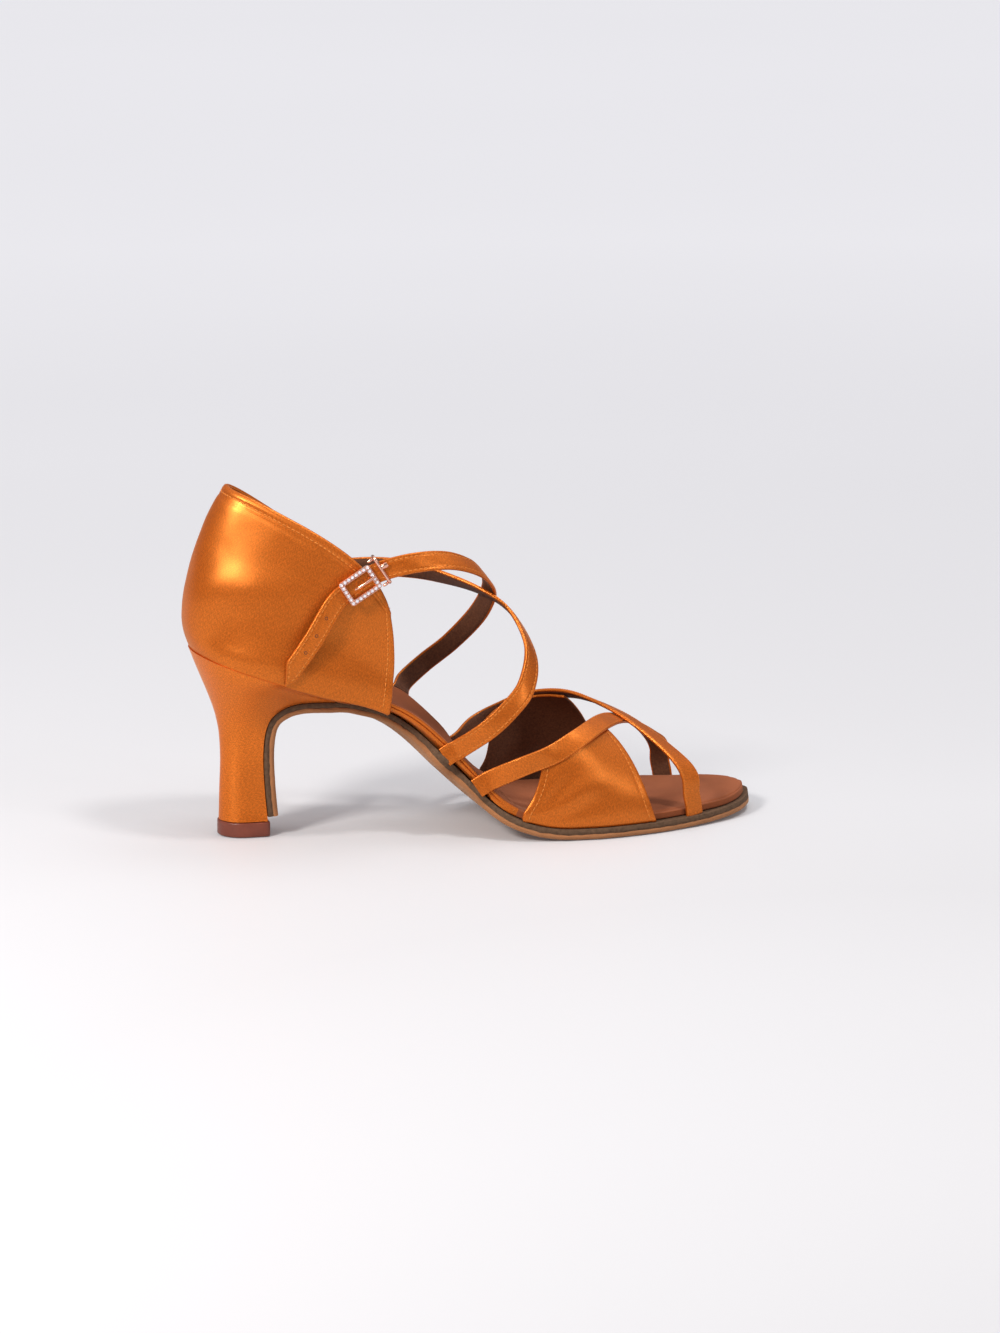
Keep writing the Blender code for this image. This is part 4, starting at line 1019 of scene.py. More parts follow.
def insole_rim():
    b = Build()
    rows, uvs, zones = [], [], []
    for s in insole_stations():
        feet, cs, cy, width = insole_edges(s)
        boat = step(60, 78, s) * (1 - step(120, 142, s))
        c = curl(s) * 1.25
        parts = {}
        for side, sign in SIDES.items():
            se, ye = feet[side]
            rise = at(INSOLE_RISE, "s", side, s)
            mid = at(INSOLE_RISE, "s", "middle", s)
            low = ye - sign * min(0.35, width * 0.1)
            if boat > 0:
                low += (sole_edge(max(s, JOIN_S), side)[1] + sign * 0.3 - low) * boat
            lift = 0.35 + boat * (0.3 * rise + 1.0)
            tall = rise - lift
            pts = [(se * 0.5 + cs * 0.5, cy + (low - cy) * 0.5, c * 0.3 + 0.1 * boat), (se, low, c), (se, low * 0.75 + ye * 0.25, lift * 0.16 + c * 0.84),
                   (se, low * 0.35 + ye * 0.65, lift * 0.45 + c * 0.55)]
            k_groove = 0.46
            for k in (0.0, 0.12, 0.26, 0.38, 0.43, 0.46, 0.49, 0.54, 0.66, 0.78, 0.88):
                n = lift + tall * k
                puff = 0.32 * math.sin(math.pi * min(1, k / k_groove)) if k < k_groove else 0.34 * math.sin(math.pi * min(1.0, (k - k_groove) / 0.6))
                dent = -0.5 * math.exp(-((k - k_groove) / 0.03) ** 2) * boat
                pts.append((se, ye + sign * (puff * boat * 0.9 + dent), n))
            nip = min(0.9, width * 0.12)
            pts += [(se, ye - sign * nip * 0.35, lift + tall * 0.97), (se, ye - sign * nip, rise), (se, ye - sign * nip * 1.7, rise - 0.05),
                    (se * 0.97 + cs * 0.03, ye - sign * nip * 2.3, rise - 0.5), (se * 0.9 + cs * 0.1, ye - sign * min(4.0, width * 0.3), rise - 1.1),
                    (se * 0.6 + cs * 0.4, cy + (ye - cy) * 0.5, mid * 0.6 + rise * 0.4 - 1.2)]
            parts[side] = pts
        ring = parts["lateral"] + parts["medial"][::-1]
        row = [on_last(*p) for p in ring]
        uv = [(s, k * 0.8) for k in range(len(ring) + 1)]
        rows.append(row), uvs.append(uv), zones.append(s)
    more, more_uv = nose(rows[-1], uvs[-1], rows[-8])
    rows, uvs, zones = rows + more, uvs + more_uv, zones + [SOLE_LENGTH] * len(more)
    b.rows(rows, uvs, lambda i, j: 0 if zones[i] < WRAP_END else 1, wrap=True)
    for row, uv in ((rows[0][::-1], uvs[0][:-1][::-1]), (rows[-1], uvs[-1][:-1])):
        b.face(row, uv, 1)
    return make("insole_rim", b, [SATIN_STRAP, SOCK], ["insole"], angle=50)


def sock_point(s, g, up):
    """g runs from -1 at the lateral edge of the sock to 1 at the medial edge."""
    feet, cs, cy, width = insole_edges(s)
    side = "lateral" if g < 0 else "medial"
    se, ye = feet[side]
    nip = min(0.9, width * 0.12)
    ye -= SIDES[side] * nip * 1.55
    se = se * 0.98 + cs * 0.02
    a = abs(g)
    rise, mid = at(INSOLE_RISE, "s", side, s), at(INSOLE_RISE, "s", "middle", s)
    k = a ** 1.7
    n = mid + (rise - mid) * k
    round_off = max(0.0, a - 0.93) / 0.07 if width > 20 else max(0.0, a - 0.8) / 0.2
    return on_last(se * a + cs * (1 - a), cy + (ye - cy) * a, n + up - 0.55 * round_off**2)


def sock():
    b = Build()
    gs = [-1, -0.985, -0.965, -0.94, -0.9] + list(np.linspace(-0.84, 0.84, 29)) + [0.9, 0.94, 0.965, 0.985, 1]
    st = [0.15] + [s for s in insole_stations(2.0) if 0.3 < s < SOLE_LENGTH - 0.2] + [SOLE_LENGTH - 0.12]
    rows, uvs = [], []
    for s in st:
        end = max(0.0, 1 - min(s - 0.15, SOLE_LENGTH - 0.12 - s) / 1.1)
        top, low = [], []
        for g in gs:
            p = sock_point(s, g, 0.42 - 0.5 * end**2)
            p.z += 0.05 * wobble(p, 9.0, 2.0) + 0.10 * wobble(p, 26.0, 4.0)
            top.append(p)
        for g in gs[::-1]:
            low.append(sock_point(s, g * 0.992, -0.75 + 0.1 * end))
        row = top + low
        rows.append(row)
        uvs.append([(s, k * 1.0) for k in range(len(row) + 1)])
    more, more_uv = nose(rows[-1], uvs[-1], rows[-8])
    rows, uvs = rows + more, uvs + more_uv
    b.rows(rows, uvs, 0, wrap=True)
    for row, uv in ((rows[0][::-1], uvs[0][:-1][::-1]), (rows[-1], uvs[-1][:-1])):
        b.face(row, uv, 0)
    ob = make("sock_pad", b, [SOCK], (), angle=60)
    return ob


# ---------------------------------------------------------------- heel
def heel():
    b = Build()
    k = 34
    taus = [(1 - math.cos(math.pi * i / (k - 1) * 0.5)) ** 1.15 for i in range(k)]
    seat = [(at(OUTLINE, "s", "lateral", SEAT_FRONT * u), at(OUTLINE, "s", "medial", SEAT_FRONT * u)) for u in taus]
    widest = max(a for a, _ in seat)
    rows_n = len(HEEL["front_t"])
    index = {"i": np.arange(rows_n), **HEEL}
    loops = []
    for r in np.linspace(0, rows_n - 1, 84):
        front_t = at(index, "i", "front_t", r) if r else PATH_START
        bx, bz, half, w = (at(index, "i", c, r) for c in ("back_x", "back_z", "half", "seat"))
        fx, fz = path_xz(front_t)
        front_half = min(at(WAIST, "t", "lateral", front_t) + 0.25, half)
        loop = {-1: [], 1: []}
        for i, tau in enumerate(taus):
            d = half * (math.sqrt(max(0.0, 1 - (1 - tau / 0.52) ** 2)) if tau < 0.52 else 1 - (1 - front_half / half) * ((tau - 0.52) / 0.48) ** 2)
            for sign, col in ((-1, 0), (1, 1)):
                seat_y = half * seat[i][col] / widest
                seat_y -= (seat_y - front_half) * step(0.35, 1.0, tau) if tau > 0.35 else 0
                y = d * (1 - w) + seat_y * w
                loop[sign].append(Vector((bx + (fx - bx) * tau, sign * max(y, 0.0 if i == 0 else 0.05), bz + (fz - bz) * tau)))
        loops.append(loop[-1][::-1] + loop[1][1:])
    top = {-1: [], 1: []}
    for tau in taus:
        for side, sign in SIDES.items():
            top[int(sign)].append(on_last(SEAT_FRONT * tau, sign * at(OUTLINE, "s", side, SEAT_FRONT * tau) * (0.0 if tau == 0 else 1), -GAP))
    last = top[-1][::-1] + top[1][1:]
    before = loops[-1]
    for f in (0.25, 0.5, 0.72, 0.88):
        loops.append([a.lerp(c, f) + Vector((0, 0, 0)) for a, c in zip(before, last)])
    inner = [Vector((p.x * 0.985 + 0.6, p.y * 0.985, p.z)) for p in last]
    loops.append([a.lerp(c, 0.97) for a, c in zip(before, last)])
    loops.append(inner)
    grid_ = np.array([[tuple(p) for p in loop] for loop in loops])
    for _ in range(3):
        q = grid_.copy()
        q[1:-2, 1:-1] = (grid_[:-3, 1:-1] + grid_[2:-1, 1:-1] + grid_[1:-2, :-2] + grid_[1:-2, 2:]) / 4
        grid_ = grid_ * 0.5 + q * 0.5
    n = grid_.shape[1]
    run = np.concatenate([np.zeros((1, n)), np.cumsum(np.linalg.norm(np.diff(grid_, axis=0), axis=2), 0)])
    over = np.concatenate([np.zeros((len(grid_), 1)), np.cumsum(np.linalg.norm(np.diff(grid_, axis=1), axis=2), 1)], 1)
    over = over - over[:, n // 2:n // 2 + 1]
    rows = [[tuple(p) for p in loop] for loop in grid_]
    uvs = [[(float(run[i, j]), float(over[i, j])) for j in range(n)] + [(float(run[i, n - 1]), float(over[i, n - 1]) + 8)] for i in range(len(rows))]
    b.rows(rows, uvs, 0, wrap=True)
    b.face(rows[0][::-1], uvs[0][:-1][::-1], 0)
    b.face(rows[-1], uvs[-1][:-1], 0)
    return make("heel_cover", b, [SATIN_HEEL_LIT], ["heel"], angle=48)


def heel_cap():
    b = Build()
    rows, uvs = [], []
    for z, g in ((0.0, -0.55), (0.0, -0.3), (0.12, -0.12), (0.35, 0.0), (1.6, 0.0), (3.4, 0.02), (CAP_HEIGHT - 0.55, 0.02), (CAP_HEIGHT - 0.2, -0.06), (CAP_HEIGHT - 0.02, -0.3), (CAP_HEIGHT, -0.7)):
        back, front, half = 10.35 - g, 29.95 + g, 9.85 + g
        side = []
        for i in range(22):
            a = math.pi * 0.5 * i / 21
            side.append((back + half * (1 - math.cos(a)), half * math.sin(a)))
        side += [(back + half + (front - 3.0 - back - half) * k / 4, half * (1 - 0.004 * k)) for k in range(1, 5)]
        side += [(front - 1.6, half * 0.975), (front - 0.7, half * 0.94), (front - 0.15, half * 0.89), (front, half * 0.82)]
        loop = [(x, -y, z) for x, y in side] + [(x, y, z) for x, y in side[::-1]][:-1]
        rows.append(loop)
        uvs.append([(k * 0.7, z) for k in range(len(loop) + 1)])
    b.rows(rows, uvs, 0, wrap=True)
    b.face(rows[0][::-1], uvs[0][:-1], 0)
    b.face(rows[-1], uvs[-1][:-1], 0)
    return make("heel_cap", b, [CAP], ["heel_tip"], angle=50)


# ---------------------------------------------------------------- counter
def counter():
    across, high = 78, 62
    ups = [1 - (1 - k / high) ** 1.25 for k in range(high + 1)]
    backs = [(1 - (1 - k / across) ** 1.12) for k in range(across + 1)]
    order = [("lateral", x) for x in backs[::-1]] + [("medial", x) for x in backs[1:]]
    sheet = Sheet([[tuple(counter_point(side, back, up)) for up in ups] for side, back in order], np.array([45.0, 0.0, 95.0]))
    sheet.relax(6)
    top = sheet.run(1, 1)
    front = np.minimum(sheet.run(0, 0), sheet.run(0, 1))
    soft = np.array([[wobble(p, 17.0, 1.0) for p in line] for line in sheet.p])
    fine = np.array([[wobble(p, 5.0, 6.0) for p in line] for line in sheet.p])
    inside = np.minimum(1.0, np.minimum(top, front) / 6.0)
    amount = 0.34 * soft * inside + 0.05 * fine * inside
    b_, u_ = np.array([x for _, x in order])[:, None], np.array(ups)[None, :]
    ease = lambda a, c, x: np.clip((x - a) / (c - a), 0, 1) ** 2 * (3 - 2 * np.clip((x - a) / (c - a), 0, 1))
    ridge = np.interp(b_, [0, 0.08, 0.3, 0.45, 0.62, 0.8, 1.0], [0.10, 0.30, 0.46, 0.54, 0.63, 0.7, 0.74])
    amount -= 1.25 * np.exp(-((u_ - ridge + 0.25) / 0.19) ** 2) * ease(0.04, 0.25, b_) * (1 - ease(0.70, 0.97, b_)) * ease(0.02, 0.17, u_)
    amount += 0.8 * np.exp(-((u_ - ridge - 0.04) / 0.12) ** 2) * ease(0.02, 0.2, b_) * (1 - ease(0.42, 0.66, b_))
    amount += -0.20 * np.exp(-((top - 2.5) / 0.45) ** 2) + 0.16 * np.exp(-((top - 1.3) / 0.8) ** 2)
    amount += -0.22 * np.exp(-((top - 4.3) / 0.5) ** 2) * (front > 4)
    amount += -0.20 * np.exp(-((front - 2.8) / 0.45) ** 2) + 0.12 * np.exp(-((front - 1.4) / 0.9) ** 2)
    sheet.push(amount)
    b = Build()
    sheet.shell(b, WALL_COUNTER, inner_edge=1.0)
    ob = make("counter_satin", b, [SATIN, LINING], ["counter"], angle=60)
    t = Build()
    row = sheet.path(1, 1, 2.5, 0.10)
    stitches(t, row[6:-6], 2.05)
    for end in (0, 1):
        line = sheet.path(0, end, 2.8, 0.10)
        stitches(t, line[1:-4], 2.05)
    make("counter_stitches", t, [THREAD], (), weld=0, angle=60)
    return sheet


# ---------------------------------------------------------------- vamp
def lifted(rows, lifts):
    return [(*r[:3], lifts.get(k, r[3])) for k, r in enumerate(rows)]


def foot_at(s, side, y, n):
    return tuple(on_last(s, SIDES[side] * y, n)) + (0.0,)


def panel_sheet(side, across=46, high=40):
    spec = PANEL[side]
    grid_ = []
    for i in range(across + 1):
        u = i / across
        s = spec["s"][0] + (spec["s"][1] - spec["s"][0]) * u
        se, ye = edge(s, side, 0.0)
        low = on_last(se, ye, 0.0)
        top, n, up = along(spec["strap"], spec["f"][0] + (spec["f"][1] - spec["f"][0]) * u)
        top = top - n * 0.72 + up * 1.9
        size = (top - low).length
        m0 = Vector(((top.x - low.x) * 0.7, SIDES[side] * size * 0.16, size * 0.9))
        m1 = up * size * (0.75 + 0.3 * u)
        line = []
        under = edge(s, side, 1.0)
        line.append(tuple(on_last(under[0], under[1], -0.25)))
        under = edge(s, side, 0.3)
        line.append(tuple(on_last(under[0], under[1], -0.2)))
        for j in range(high + 1):
            v = j / high
            p = low * (2 * v**3 - 3 * v**2 + 1) + m0 * (v**3 - 2 * v**2 + v) + top * (3 * v**2 - 2 * v**3) + m1 * (v**3 - v**2)
            curl_ = math.exp(-(u / 0.07) ** 2) * math.exp(-((v - 0.1) / 0.16) ** 2)
            p = p + Vector((-1.6 * curl_, SIDES[side] * 1.1 * curl_, 0.3 * curl_))
            line.append(tuple(p))
        grid_.append(line)
    return Sheet(grid_, np.array([170.0, 0.0, 0.0]))


def vamp():
    body, thread = Build(), Build()
    for side in SIDES:
        sheet = panel_sheet(side)
        sheet.relax(3)
        rear, front, low = sheet.run(0, 0), sheet.run(0, 1), sheet.run(1, 0)
        soft = np.array([[wobble(p, 14.0, 11.0) for p in line] for line in sheet.p])
        inside = np.minimum(1.0, np.minimum(np.minimum(rear, front), low) / 5.0)
        amount = 0.22 * soft * inside
        amount += -0.18 * np.exp(-((rear - 2.2) / 0.42) ** 2) - 0.18 * np.exp(-((front - 2.2) / 0.42) ** 2)
        amount += 0.12 * np.exp(-((rear - 1.0) / 0.7) ** 2) + 0.12 * np.exp(-((front - 1.0) / 0.7) ** 2)
        fan, away = np.arctan2(low, rear + 2.0), np.hypot(low, rear)
        folds = np.sin(fan * 11.0 + 0.6 * soft + 0.8) * np.exp(-((away - 24.0) / 13.0) ** 2)
        amount += 0.30 * folds * inside
        sheet.push(amount)
        sheet.shell(body, 1.25, inner_edge=-1)
        for end in (0, 1):
            line = sheet.path(0, end, 2.2, 0.08)
            stitches(thread, line[3:-5], 2.05)
    straps = []
    rows_c = [root(123.2, "lateral", 0.6, 1.0), root(123.9, "lateral", 3.4, 0.9), root(125.4, "lateral", 7.5, 0.6), (125.6, -36.2, 29.6, 0.0)] + list(STRAP_C[3:9]) + [
        (196.6, 32.4, 19.0, 0.0), root(217.6, "medial", 8.5, 0.8), root(218.3, "medial", 4.0, 0.9), root(218.7, "medial", -0.25, 0.95)]
    rows_d = [root(118.4, "medial", 0.8, 1.0), root(119.0, "medial", 3.6, 0.9), root(120.6, "medial", 7.5, 0.6), (120.4, 32.2, 31.4, 0.0)] + list(lifted(STRAP_D, {5: 0.8, 6: 1.45, 7: 1.45, 8: 0.6})[3:9]) + [
        (194.8, -26.8, 20.5, 0.0), root(216.0, "lateral", 8.5, 0.8), root(216.9, "lateral", 4.0, 0.9), root(217.3, "lateral", -0.25, 0.95)]
    for rows, seed, feet in ((rows_c, 1.0, ((124, "lateral"), (218, "medial"))), (rows_d, 2.0, ((119, "medial"), (217, "lateral")))):
        r = Ribbon(rows, 0.9, groove=0.0, seed=seed, roots=feet, reach=30.0)
        r.body(body)
        for sign in (-1, 1):
            stitches(thread, r.line(sign, 0.62, 5, 5, 0.0), 1.15, 0.62, 0.11)
        straps.append(r)
    make("vamp_satin", body, [SATIN_STRAP, LINING], ["vamp"], angle=60)
    make("vamp_stitches", thread, [THREAD], (), weld=0, angle=60)
    return straps


# ---------------------------------------------------------------- instep straps
def ring_of(b, centre, normal, tangent, profile, sides=18, mat=0, close=True):
    """A turned shape: profile rows of (radius, height) round a normal."""
    w = np.cross(normal, tangent)
    rows = [[centre + (tangent * math.cos(2 * math.pi * k / sides) + w * math.sin(2 * math.pi * k / sides)) * r + normal * h for k in range(sides)] for r, h in profile]
    b.rows(rows, [[(k * 0.3, h) for k in range(sides + 1)] for _, h in profile], mat, wrap=True)
    if close:
        b.face(rows[0][::-1], [(0, 0)] * sides, mat)
        b.face(rows[-1], [(0, 0)] * sides, mat)


def instep():
    body, thread, holes = Build(), Build(), Build()
    rows_a = [root(106.0, "lateral", 0.8, 1.0), root(106.6, "lateral", 3.6, 0.9), root(107.8, "lateral", 7.5, 0.6)] + list(STRAP_A[2:])
    rows_a = lifted(rows_a, {7: -0.25, 8: -0.85, 9: -0.2})
    rows_b = strap_b_rows()
    rows_b = lifted(rows_b, {5: 0.8, 6: 2.4, 7: 1.9, 8: 0.7})
    rows_b = [root(88.2, "medial", 0.8, 1.0), root(88.6, "medial", 4.0, 0.9), root(89.2, "medial", 8.0, 0.6)] + list(rows_b[2:])
    a = Ribbon(rows_a, 0.85, seed=4.0, roots=((107, "lateral"), None))
    c = Ribbon(rows_b, 0.85, seed=7.0, tip=(4.2, 8.2), roots=((89, "medial"), None))
    for r, start, end in ((a, 4.0, 3.0), (c, 4.0, 1.6)):
        r.body(body)
        for sign in (-1, 1):
            stitches(thread, r.line(sign, 1.35, start, end, 0.04), 2.1, 1.5, 0.19)
    for back in (15.0, 23.0, 31.0):
        k = min(range(c.count), key=lambda i: abs(c.length - back - c.run[i]))
        p, t, m, w = c.frames[k]
        centre = np.array(p + m * (c.height(3.9, 4.0)))
        # Each hole is a shallow dish, not cut through: its flat lining-brown floor is painted shade for the dark seen
        # into the hole; the raised ring is the hole's edge.
        ring_of(holes, centre, np.array(m), np.array(t), [(0.0, -0.2), (0.36, -0.2), (0.46, 0.04), (0.56, 0.06), (0.68, 0.02), (0.72, -0.15)], close=False)
    make("instep_strap_satin", body, [SATIN_STRAP, LINING], ["instep_straps"], angle=60)
    make("instep_stitches", thread, [THREAD], (), weld=0, angle=60)
    make("strap_holes", holes, [LINING], (), angle=60)
    return a, c


# ---------------------------------------------------------------- buckle
def rounded(length, width, corner, per=7, side=0):
    pts = []
    for sx, sy, a0 in ((1, 1, 0), (-1, 1, 90), (-1, -1, 180), (1, -1, 270)):
        for k in range(per):
            a = math.radians(a0 + 90 * k / (per - 1))
            pts.append((sx * (length / 2 - corner) + corner * math.cos(a), sy * (width / 2 - corner) + corner * math.sin(a)))
    return pts


def stone(b, centre, along_, across_, out, radius):
    """A round brilliant: girdle, crown facets and a flat table."""
    def loop(r, h, turn, n=8):
        return [centre + along_ * (r * math.cos(math.radians(turn + 360 * k / n))) + across_ * (r * math.sin(math.radians(turn + 360 * k / n))) + out * h for k in range(n)]
    base, girdle, crown, top = loop(radius * 0.85, -0.3, 0), loop(radius, 0.0, 0), loop(radius * 0.82, 0.24, 22.5), loop(radius * 0.5, 0.42, 0)
    uv3, uv4 = [(0, 0)] * 3, [(0, 0)] * 4
    for k in range(8):
        j = (k + 1) % 8
        b.face([base[k], base[j], girdle[j], girdle[k]], uv4)
        b.face([girdle[k], girdle[j], crown[k]], uv3)
        b.face([girdle[j], crown[j], crown[k]], uv3)
        b.face([crown[k], crown[j], top[j]], uv3)
        b.face([crown[k], top[j], top[k]], uv3)
    b.face(top, [(0, 0)] * 8)
    b.face(base[::-1], [(0, 0)] * 8)


def wire(b, points, radii, normals, sides=12, closed=False, flat=1.0):
    """A round or flattened wire along points."""
    pts = [Vector(p) for p in points]
    rows, uvs, run = [], [], 0.0
    n = len(pts)
    for i, p in enumerate(pts):
        q0, q1 = (pts[(i - 1) % n], pts[(i + 1) % n]) if closed else (pts[max(i - 1, 0)], pts[min(i + 1, n - 1)])
        t = (q1 - q0).normalized()
        m = normals[i] if isinstance(normals, list) else normals
        m = (m - t * m.dot(t)).normalized()
        w = t.cross(m)
        r = radii[i] if isinstance(radii, (list, tuple)) else radii
        f = flat[i] if isinstance(flat, (list, tuple)) else flat
        rows.append([p + w * (r * math.cos(2 * math.pi * k / sides)) + m * (r * f * math.sin(2 * math.pi * k / sides)) for k in range(sides)])
        uvs.append([(run, k * 0.3) for k in range(sides + 1)])
        run += 0.5
    if closed:
        rows.append(rows[0]), uvs.append(uvs[0])
        b.rows(rows, uvs, 0, wrap=True)
        return
    b.rows(rows, uvs, 0, wrap=True)
    b.face(rows[0][::-1], [(0, 0)] * sides)
    b.face(rows[-1], [(0, 0)] * sides)


def buckle():
    mid, fwd, across, out = buckle_axes()
    L, W, B, h = BUCKLE_LENGTH, BUCKLE_WIDTH, BUCKLE_BAR, BUCKLE_THICK / 2
    frame_, stones = Build(), Build()
    sec = [(0.0, -h + 0.15, 1.3), (0.12, -h, 1.2), (B - 0.12, -h, 0.4), (B, -h + 0.15, 0.35), (B, h - 0.12, 0.35), (B - 0.08, h, 0.4), (B - 0.24, h, 0.45), (B - 0.3, h - 0.1, 0.5), (B - 0.32, h - 0.3, 0.5),
           (0.32, h - 0.3, 1.0), (0.30, h - 0.1, 1.0), (0.24, h, 1.1), (0.08, h, 1.2), (0.0, h - 0.12, 1.3)]
    rows, uvs = [], []
    for inn, z, corner in sec + [sec[0]]:
        ring = rounded(L - 2 * inn, W - 2 * inn, max(corner, 0.3))
        rows.append([tuple(mid + fwd * a + across * c + out * z) for a, c in ring])
        uvs.append([(k * 0.8, inn) for k in range(len(ring) + 1)])
    frame_.rows(rows, uvs, 0, wrap=True)
    fwd_n, across_n, out_n = np.array(fwd), np.array(across), np.array(out)
    spots = []
    nl, ns = 8, 5
    for k in range(nl):
        a = -(L - B) / 2 + (L - B) * k / (nl - 1)
        spots += [(a, (W - B) / 2), (a, -(W - B) / 2)]
    for k in range(1, ns):
        c = -(W - B) / 2 + (W - B) * k / ns
        spots += [((L - B) / 2, c), (-(L - B) / 2, c)]
    for a, c in spots:
        centre = np.array(mid) + fwd_n * a + across_n * c + out_n * (h - 0.02)
        stone(stones, centre, fwd_n, across_n, out_n, 0.74)
    for k in range(nl - 1):
        a = -(L - B) / 2 + (L - B) * (k + 0.5) / (nl - 1)
        for c in ((W - B) / 2, -(W - B) / 2):
            for d in (0.62, -0.62):
                centre = np.array(mid) + fwd_n * a + across_n * (c + d) + out_n * (h - 0.12)
                ring_of(frame_, centre, out_n, fwd_n, [(0.2, 0.0), (0.2, 0.2), (0.14, 0.32), (0.03, 0.36)], 8)
    for k in range(ns):
        c = -(W - B) / 2 + (W - B) * (k + 0.5) / ns
        for a in ((L - B) / 2, -(L - B) / 2):
            for d in (0.62, -0.62):
                centre = np.array(mid) + fwd_n * (a + d) + across_n * c + out_n * (h - 0.12)
                ring_of(frame_, centre, out_n, fwd_n, [(0.2, 0.0), (0.2, 0.2), (0.14, 0.32), (0.03, 0.36)], 8)
    make("buckle_frame_gold", frame_, [GOLD], ["buckle_frame"], weld=0.0005, angle=40)
    make("buckle_stones", stones, [STONE], (), weld=0.0005, angle=12)

    loop = Build()
    centre = mid + fwd * (L / 2 + 3.2) - out * (BUCKLE_THICK / 2 + GAP + STRAP_THICK / 2 + 0.62)
    half, rise = STRAP_WIDTH / 2 + 1.9, STRAP_THICK / 2 + 1.55
    pts = [centre + across * a + out * c for a, c in rounded(half * 2, rise * 2, 1.3, 8)]
    dense = []
    for p, q in zip(pts, pts[1:] + pts[:1]):
        count = max(1, int((q - p).length / 0.7))
        dense += [p.lerp(q, k / count) for k in range(count)]
    wire(loop, dense, 0.7, fwd, 12, closed=True)
    for sign in (-1, 1):
        tail = [centre + across * sign * (half - 0.2) + fwd * x + out * (0.35 + y) for x, y in ((0.0, 0.5), (-1.1, 0.75), (-2.2, 0.8), (-3.0, 0.7))]
        wire(loop, tail, [0.6, 0.6, 0.62, 0.45], out, 12)
    tab = [centre + out * (rise + 0.15) + fwd * x + across * -1.0 for x in (0.3, 1.2, 2.2, 3.0)]
    wire(loop, tab, [0.5, 0.95, 1.15, 0.8], out, 12, flat=[0.9, 0.5, 0.35, 0.3])
    make("buckle_loop_gold", loop, [GOLD], ["buckle_loop"], weld=0.0005, angle=40)

    prong = Build()
    path_ = spline([tuple(p) + (0.0,) for p in buckle_prong_points()], 22)
    wire(prong, [p[:3] for p in path_], [0.55 * (0.55 + 0.45 * step(0, 0.25, 1 - k / 21)) for k in range(22)], out, 12)
    make("buckle_prong_gold", prong, [GOLD], ["buckle_prong"], weld=0.0005, angle=40)


# ---------------------------------------------------------------- loose rows of stitches on the insole
def insole_threads():
    b = Build()
    line = []
    for g in np.linspace(-0.96, 0.96, 60):
        p = sock_point(WRAP_END - 1.0, float(g), 0.42)
        q = sock_point(WRAP_END + 0.5, float(g), 0.42)
        n = (q - p).cross(Vector((0, 1, 0))).normalized()
        n = n if n.z > 0 else -n
        line.append((np.array(p + n * 0.05), np.array(n)))
    stitches(b, line, 2.1, 1.4, 0.17)
    make("sock_stitches", b, [THREAD_SOCK], (), weld=0, angle=60)
    t = Build()
    for side, sign in SIDES.items():
        line = []
        se, ye = edge(WRAP_END - 1.2, side, insole_inset(WRAP_END - 1.2))
        for n in np.linspace(0.8, at(INSOLE_RISE, "s", side, WRAP_END) - 0.2, 8):
            line.append((np.array(on_last(se, ye + sign * 0.16, float(n))), np.array((0, sign, 0.0))))
        stitches(t, line, 1.5, 1.1, 0.16, skip=0.1)
    make("rim_stitches", t, [THREAD], (), weld=0, angle=60)


outsole()
insole_rim()
sock()
insole_threads()
heel()
heel_cap()
counter()
vamp()
instep()
buckle()


# ---------------------------------------------------------------- floor, light and camera
def floor():
    me = bpy.data.meshes.new("floor")
    n, r = 96, 30.0
    me.from_pydata([(r * math.cos(2 * math.pi * k / n), r * math.sin(2 * math.pi * k / n), -0.0003) for k in range(n)], [], [tuple(range(n))])
    m = Mat("floor_paper", Roughness=0.55, Specular_IOR_Level=0.25)
    g = m.noise(m.place(1.0), 2.0, 2.0)
    m.colour(m.ramp(g, [(0.3, (0.585, 0.582, 0.598)), (0.7, (0.595, 0.592, 0.608))]))
    far = m.node("ShaderNodeVectorMath", operation="LENGTH")
    shift = m.node("ShaderNodeVectorMath", {1: (-0.1, 0.5, 0.0)}, operation="ADD")
    m.link(m.place(1.0), shift.inputs[0])
    m.link(shift.outputs[0], far.inputs[0])
    glow = [(0.09, 0.0), (0.125, 0.06), (0.175, 0.09), (0.25, 0.175), (0.34, 0.275), (0.465, 0.373), (0.54, 0.415), (0.8, 0.44)]
    m.link(m.ramp(m.math("DIVIDE", far.outputs["Value"], 4.0), [(a, (v, v * 0.994, v * 1.03)) for a, v in glow]), m.b.inputs["Emission Color"])
    m.b.inputs["Emission Strength"].default_value = 1.0
    me.materials.append(m.m)
    ob = bpy.data.objects.new("floor", me)
    bpy.context.scene.collection.objects.link(ob)


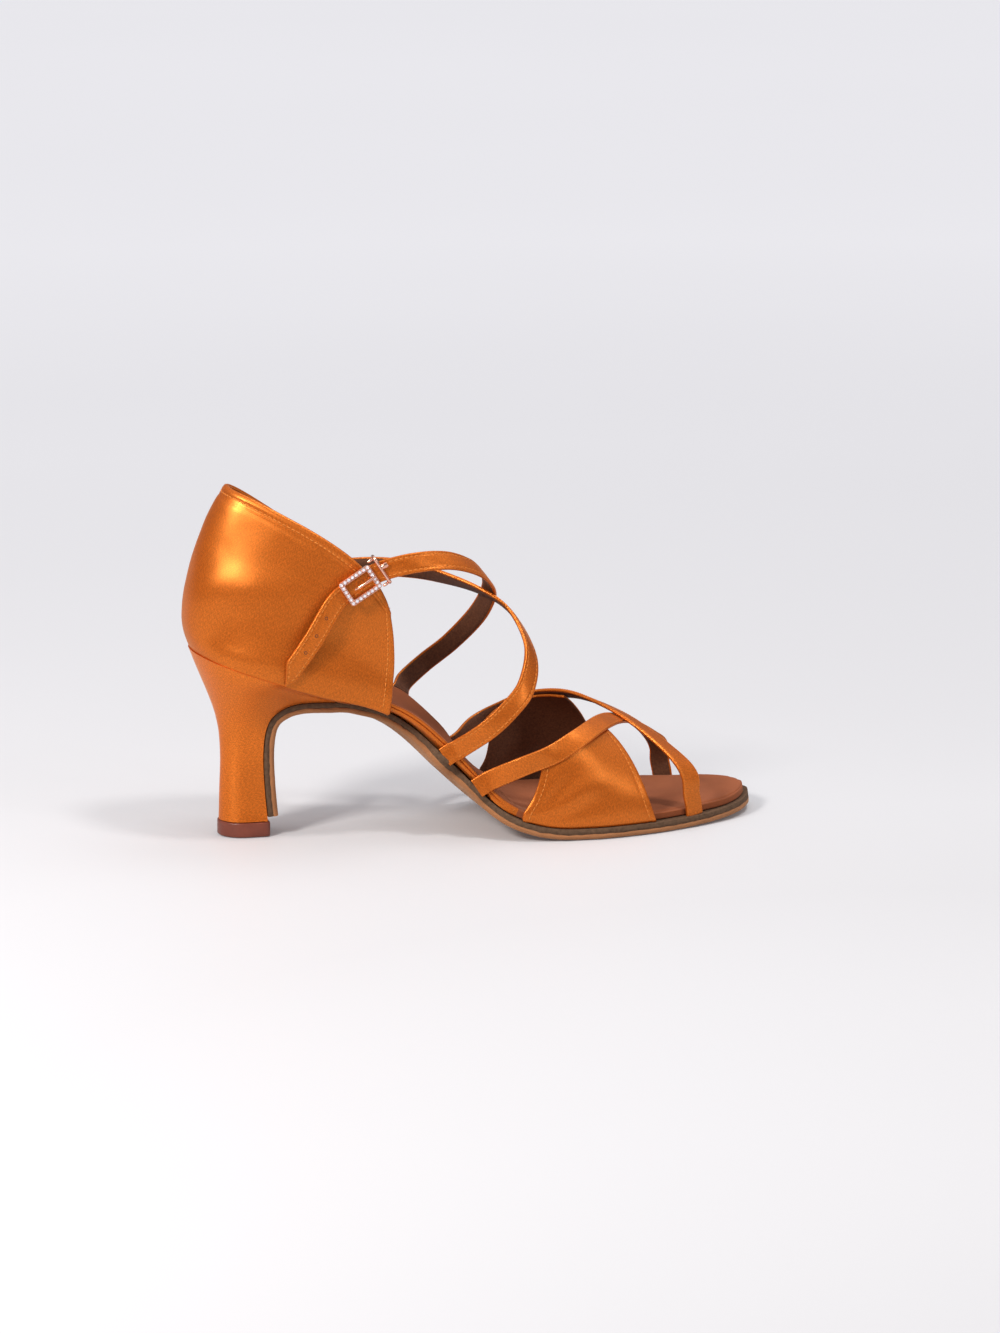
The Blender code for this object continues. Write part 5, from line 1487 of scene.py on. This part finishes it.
def area(name, place, aim, size, power, colour=(1, 1, 1)):
    li = bpy.data.lights.new(name, "AREA")
    li.shape, li.size, li.size_y, li.energy, li.color = "RECTANGLE", size[0], size[1], power, colour
    ob = bpy.data.objects.new(name, li)
    ob.location = place
    ob.rotation_mode = "QUATERNION"
    ob.rotation_quaternion = (Vector(aim) - Vector(place)).to_track_quat("-Z", "Y")
    bpy.context.scene.collection.objects.link(ob)


def studio():
    world = bpy.data.worlds.new("studio")
    world.use_nodes = True
    nt = world.node_tree
    bg = nt.nodes["Background"]
    coord, split, ramp = nt.nodes.new("ShaderNodeTexCoord"), nt.nodes.new("ShaderNodeSeparateXYZ"), nt.nodes.new("ShaderNodeValToRGB")
    nt.links.new(coord.outputs["Generated"], split.inputs[0])
    nt.links.new(split.outputs["Z"], ramp.inputs["Fac"])
    e = ramp.color_ramp.elements
    e[0].position, e[0].color = 0.0, (0.13, 0.128, 0.134, 1)
    e[1].position, e[1].color = 0.95, (1.0, 0.995, 1.03, 1)
    mid = e.new(0.35)
    mid.color = (0.36, 0.357, 0.373, 1)
    nt.links.new(ramp.outputs["Color"], bg.inputs["Color"])
    bg.inputs["Strength"].default_value = 0.88
    bpy.context.scene.world = world
    bpy.context.scene.view_settings.view_transform = "Standard"
    area("key", (-0.8, -0.6, 0.75), (0, 0, 0.06), (0.24, 0.24), 11.5, (1.0, 0.97, 0.93))
    area("top", (0.3, 0.25, 1.1), (0.0, 0, 0.07), (0.6, 0.35), 1.6)
    area("front", (0.85, -0.85, 0.6), (0, 0, 0.07), (0.2, 0.4), 1.7)
    area("spot", (0.25, -0.35, 1.1), (0.06, 0, 0.03), (0.16, 0.16), 4.0, (1.0, 0.98, 0.95))


def camera():
    cam = bpy.data.cameras.new("camera")
    ob = bpy.data.objects.new("camera", cam)
    bpy.context.scene.collection.objects.link(ob)
    az, el, far = math.radians(-12.0), math.radians(12.0), 2.3
    aim = Vector((0.012, 0.0, 0.062))
    back = Vector((math.sin(az) * math.cos(el), -math.cos(az) * math.cos(el), math.sin(el)))
    ob.location = aim + back * far
    ob.rotation_mode = "QUATERNION"
    ob.rotation_quaternion = (-back).to_track_quat("-Z", "Y")
    cam.lens = 36.0 * far / 0.527
    cam.clip_start, cam.clip_end = 0.05, 100.0
    bpy.context.scene.camera = ob


floor()
studio()
camera()
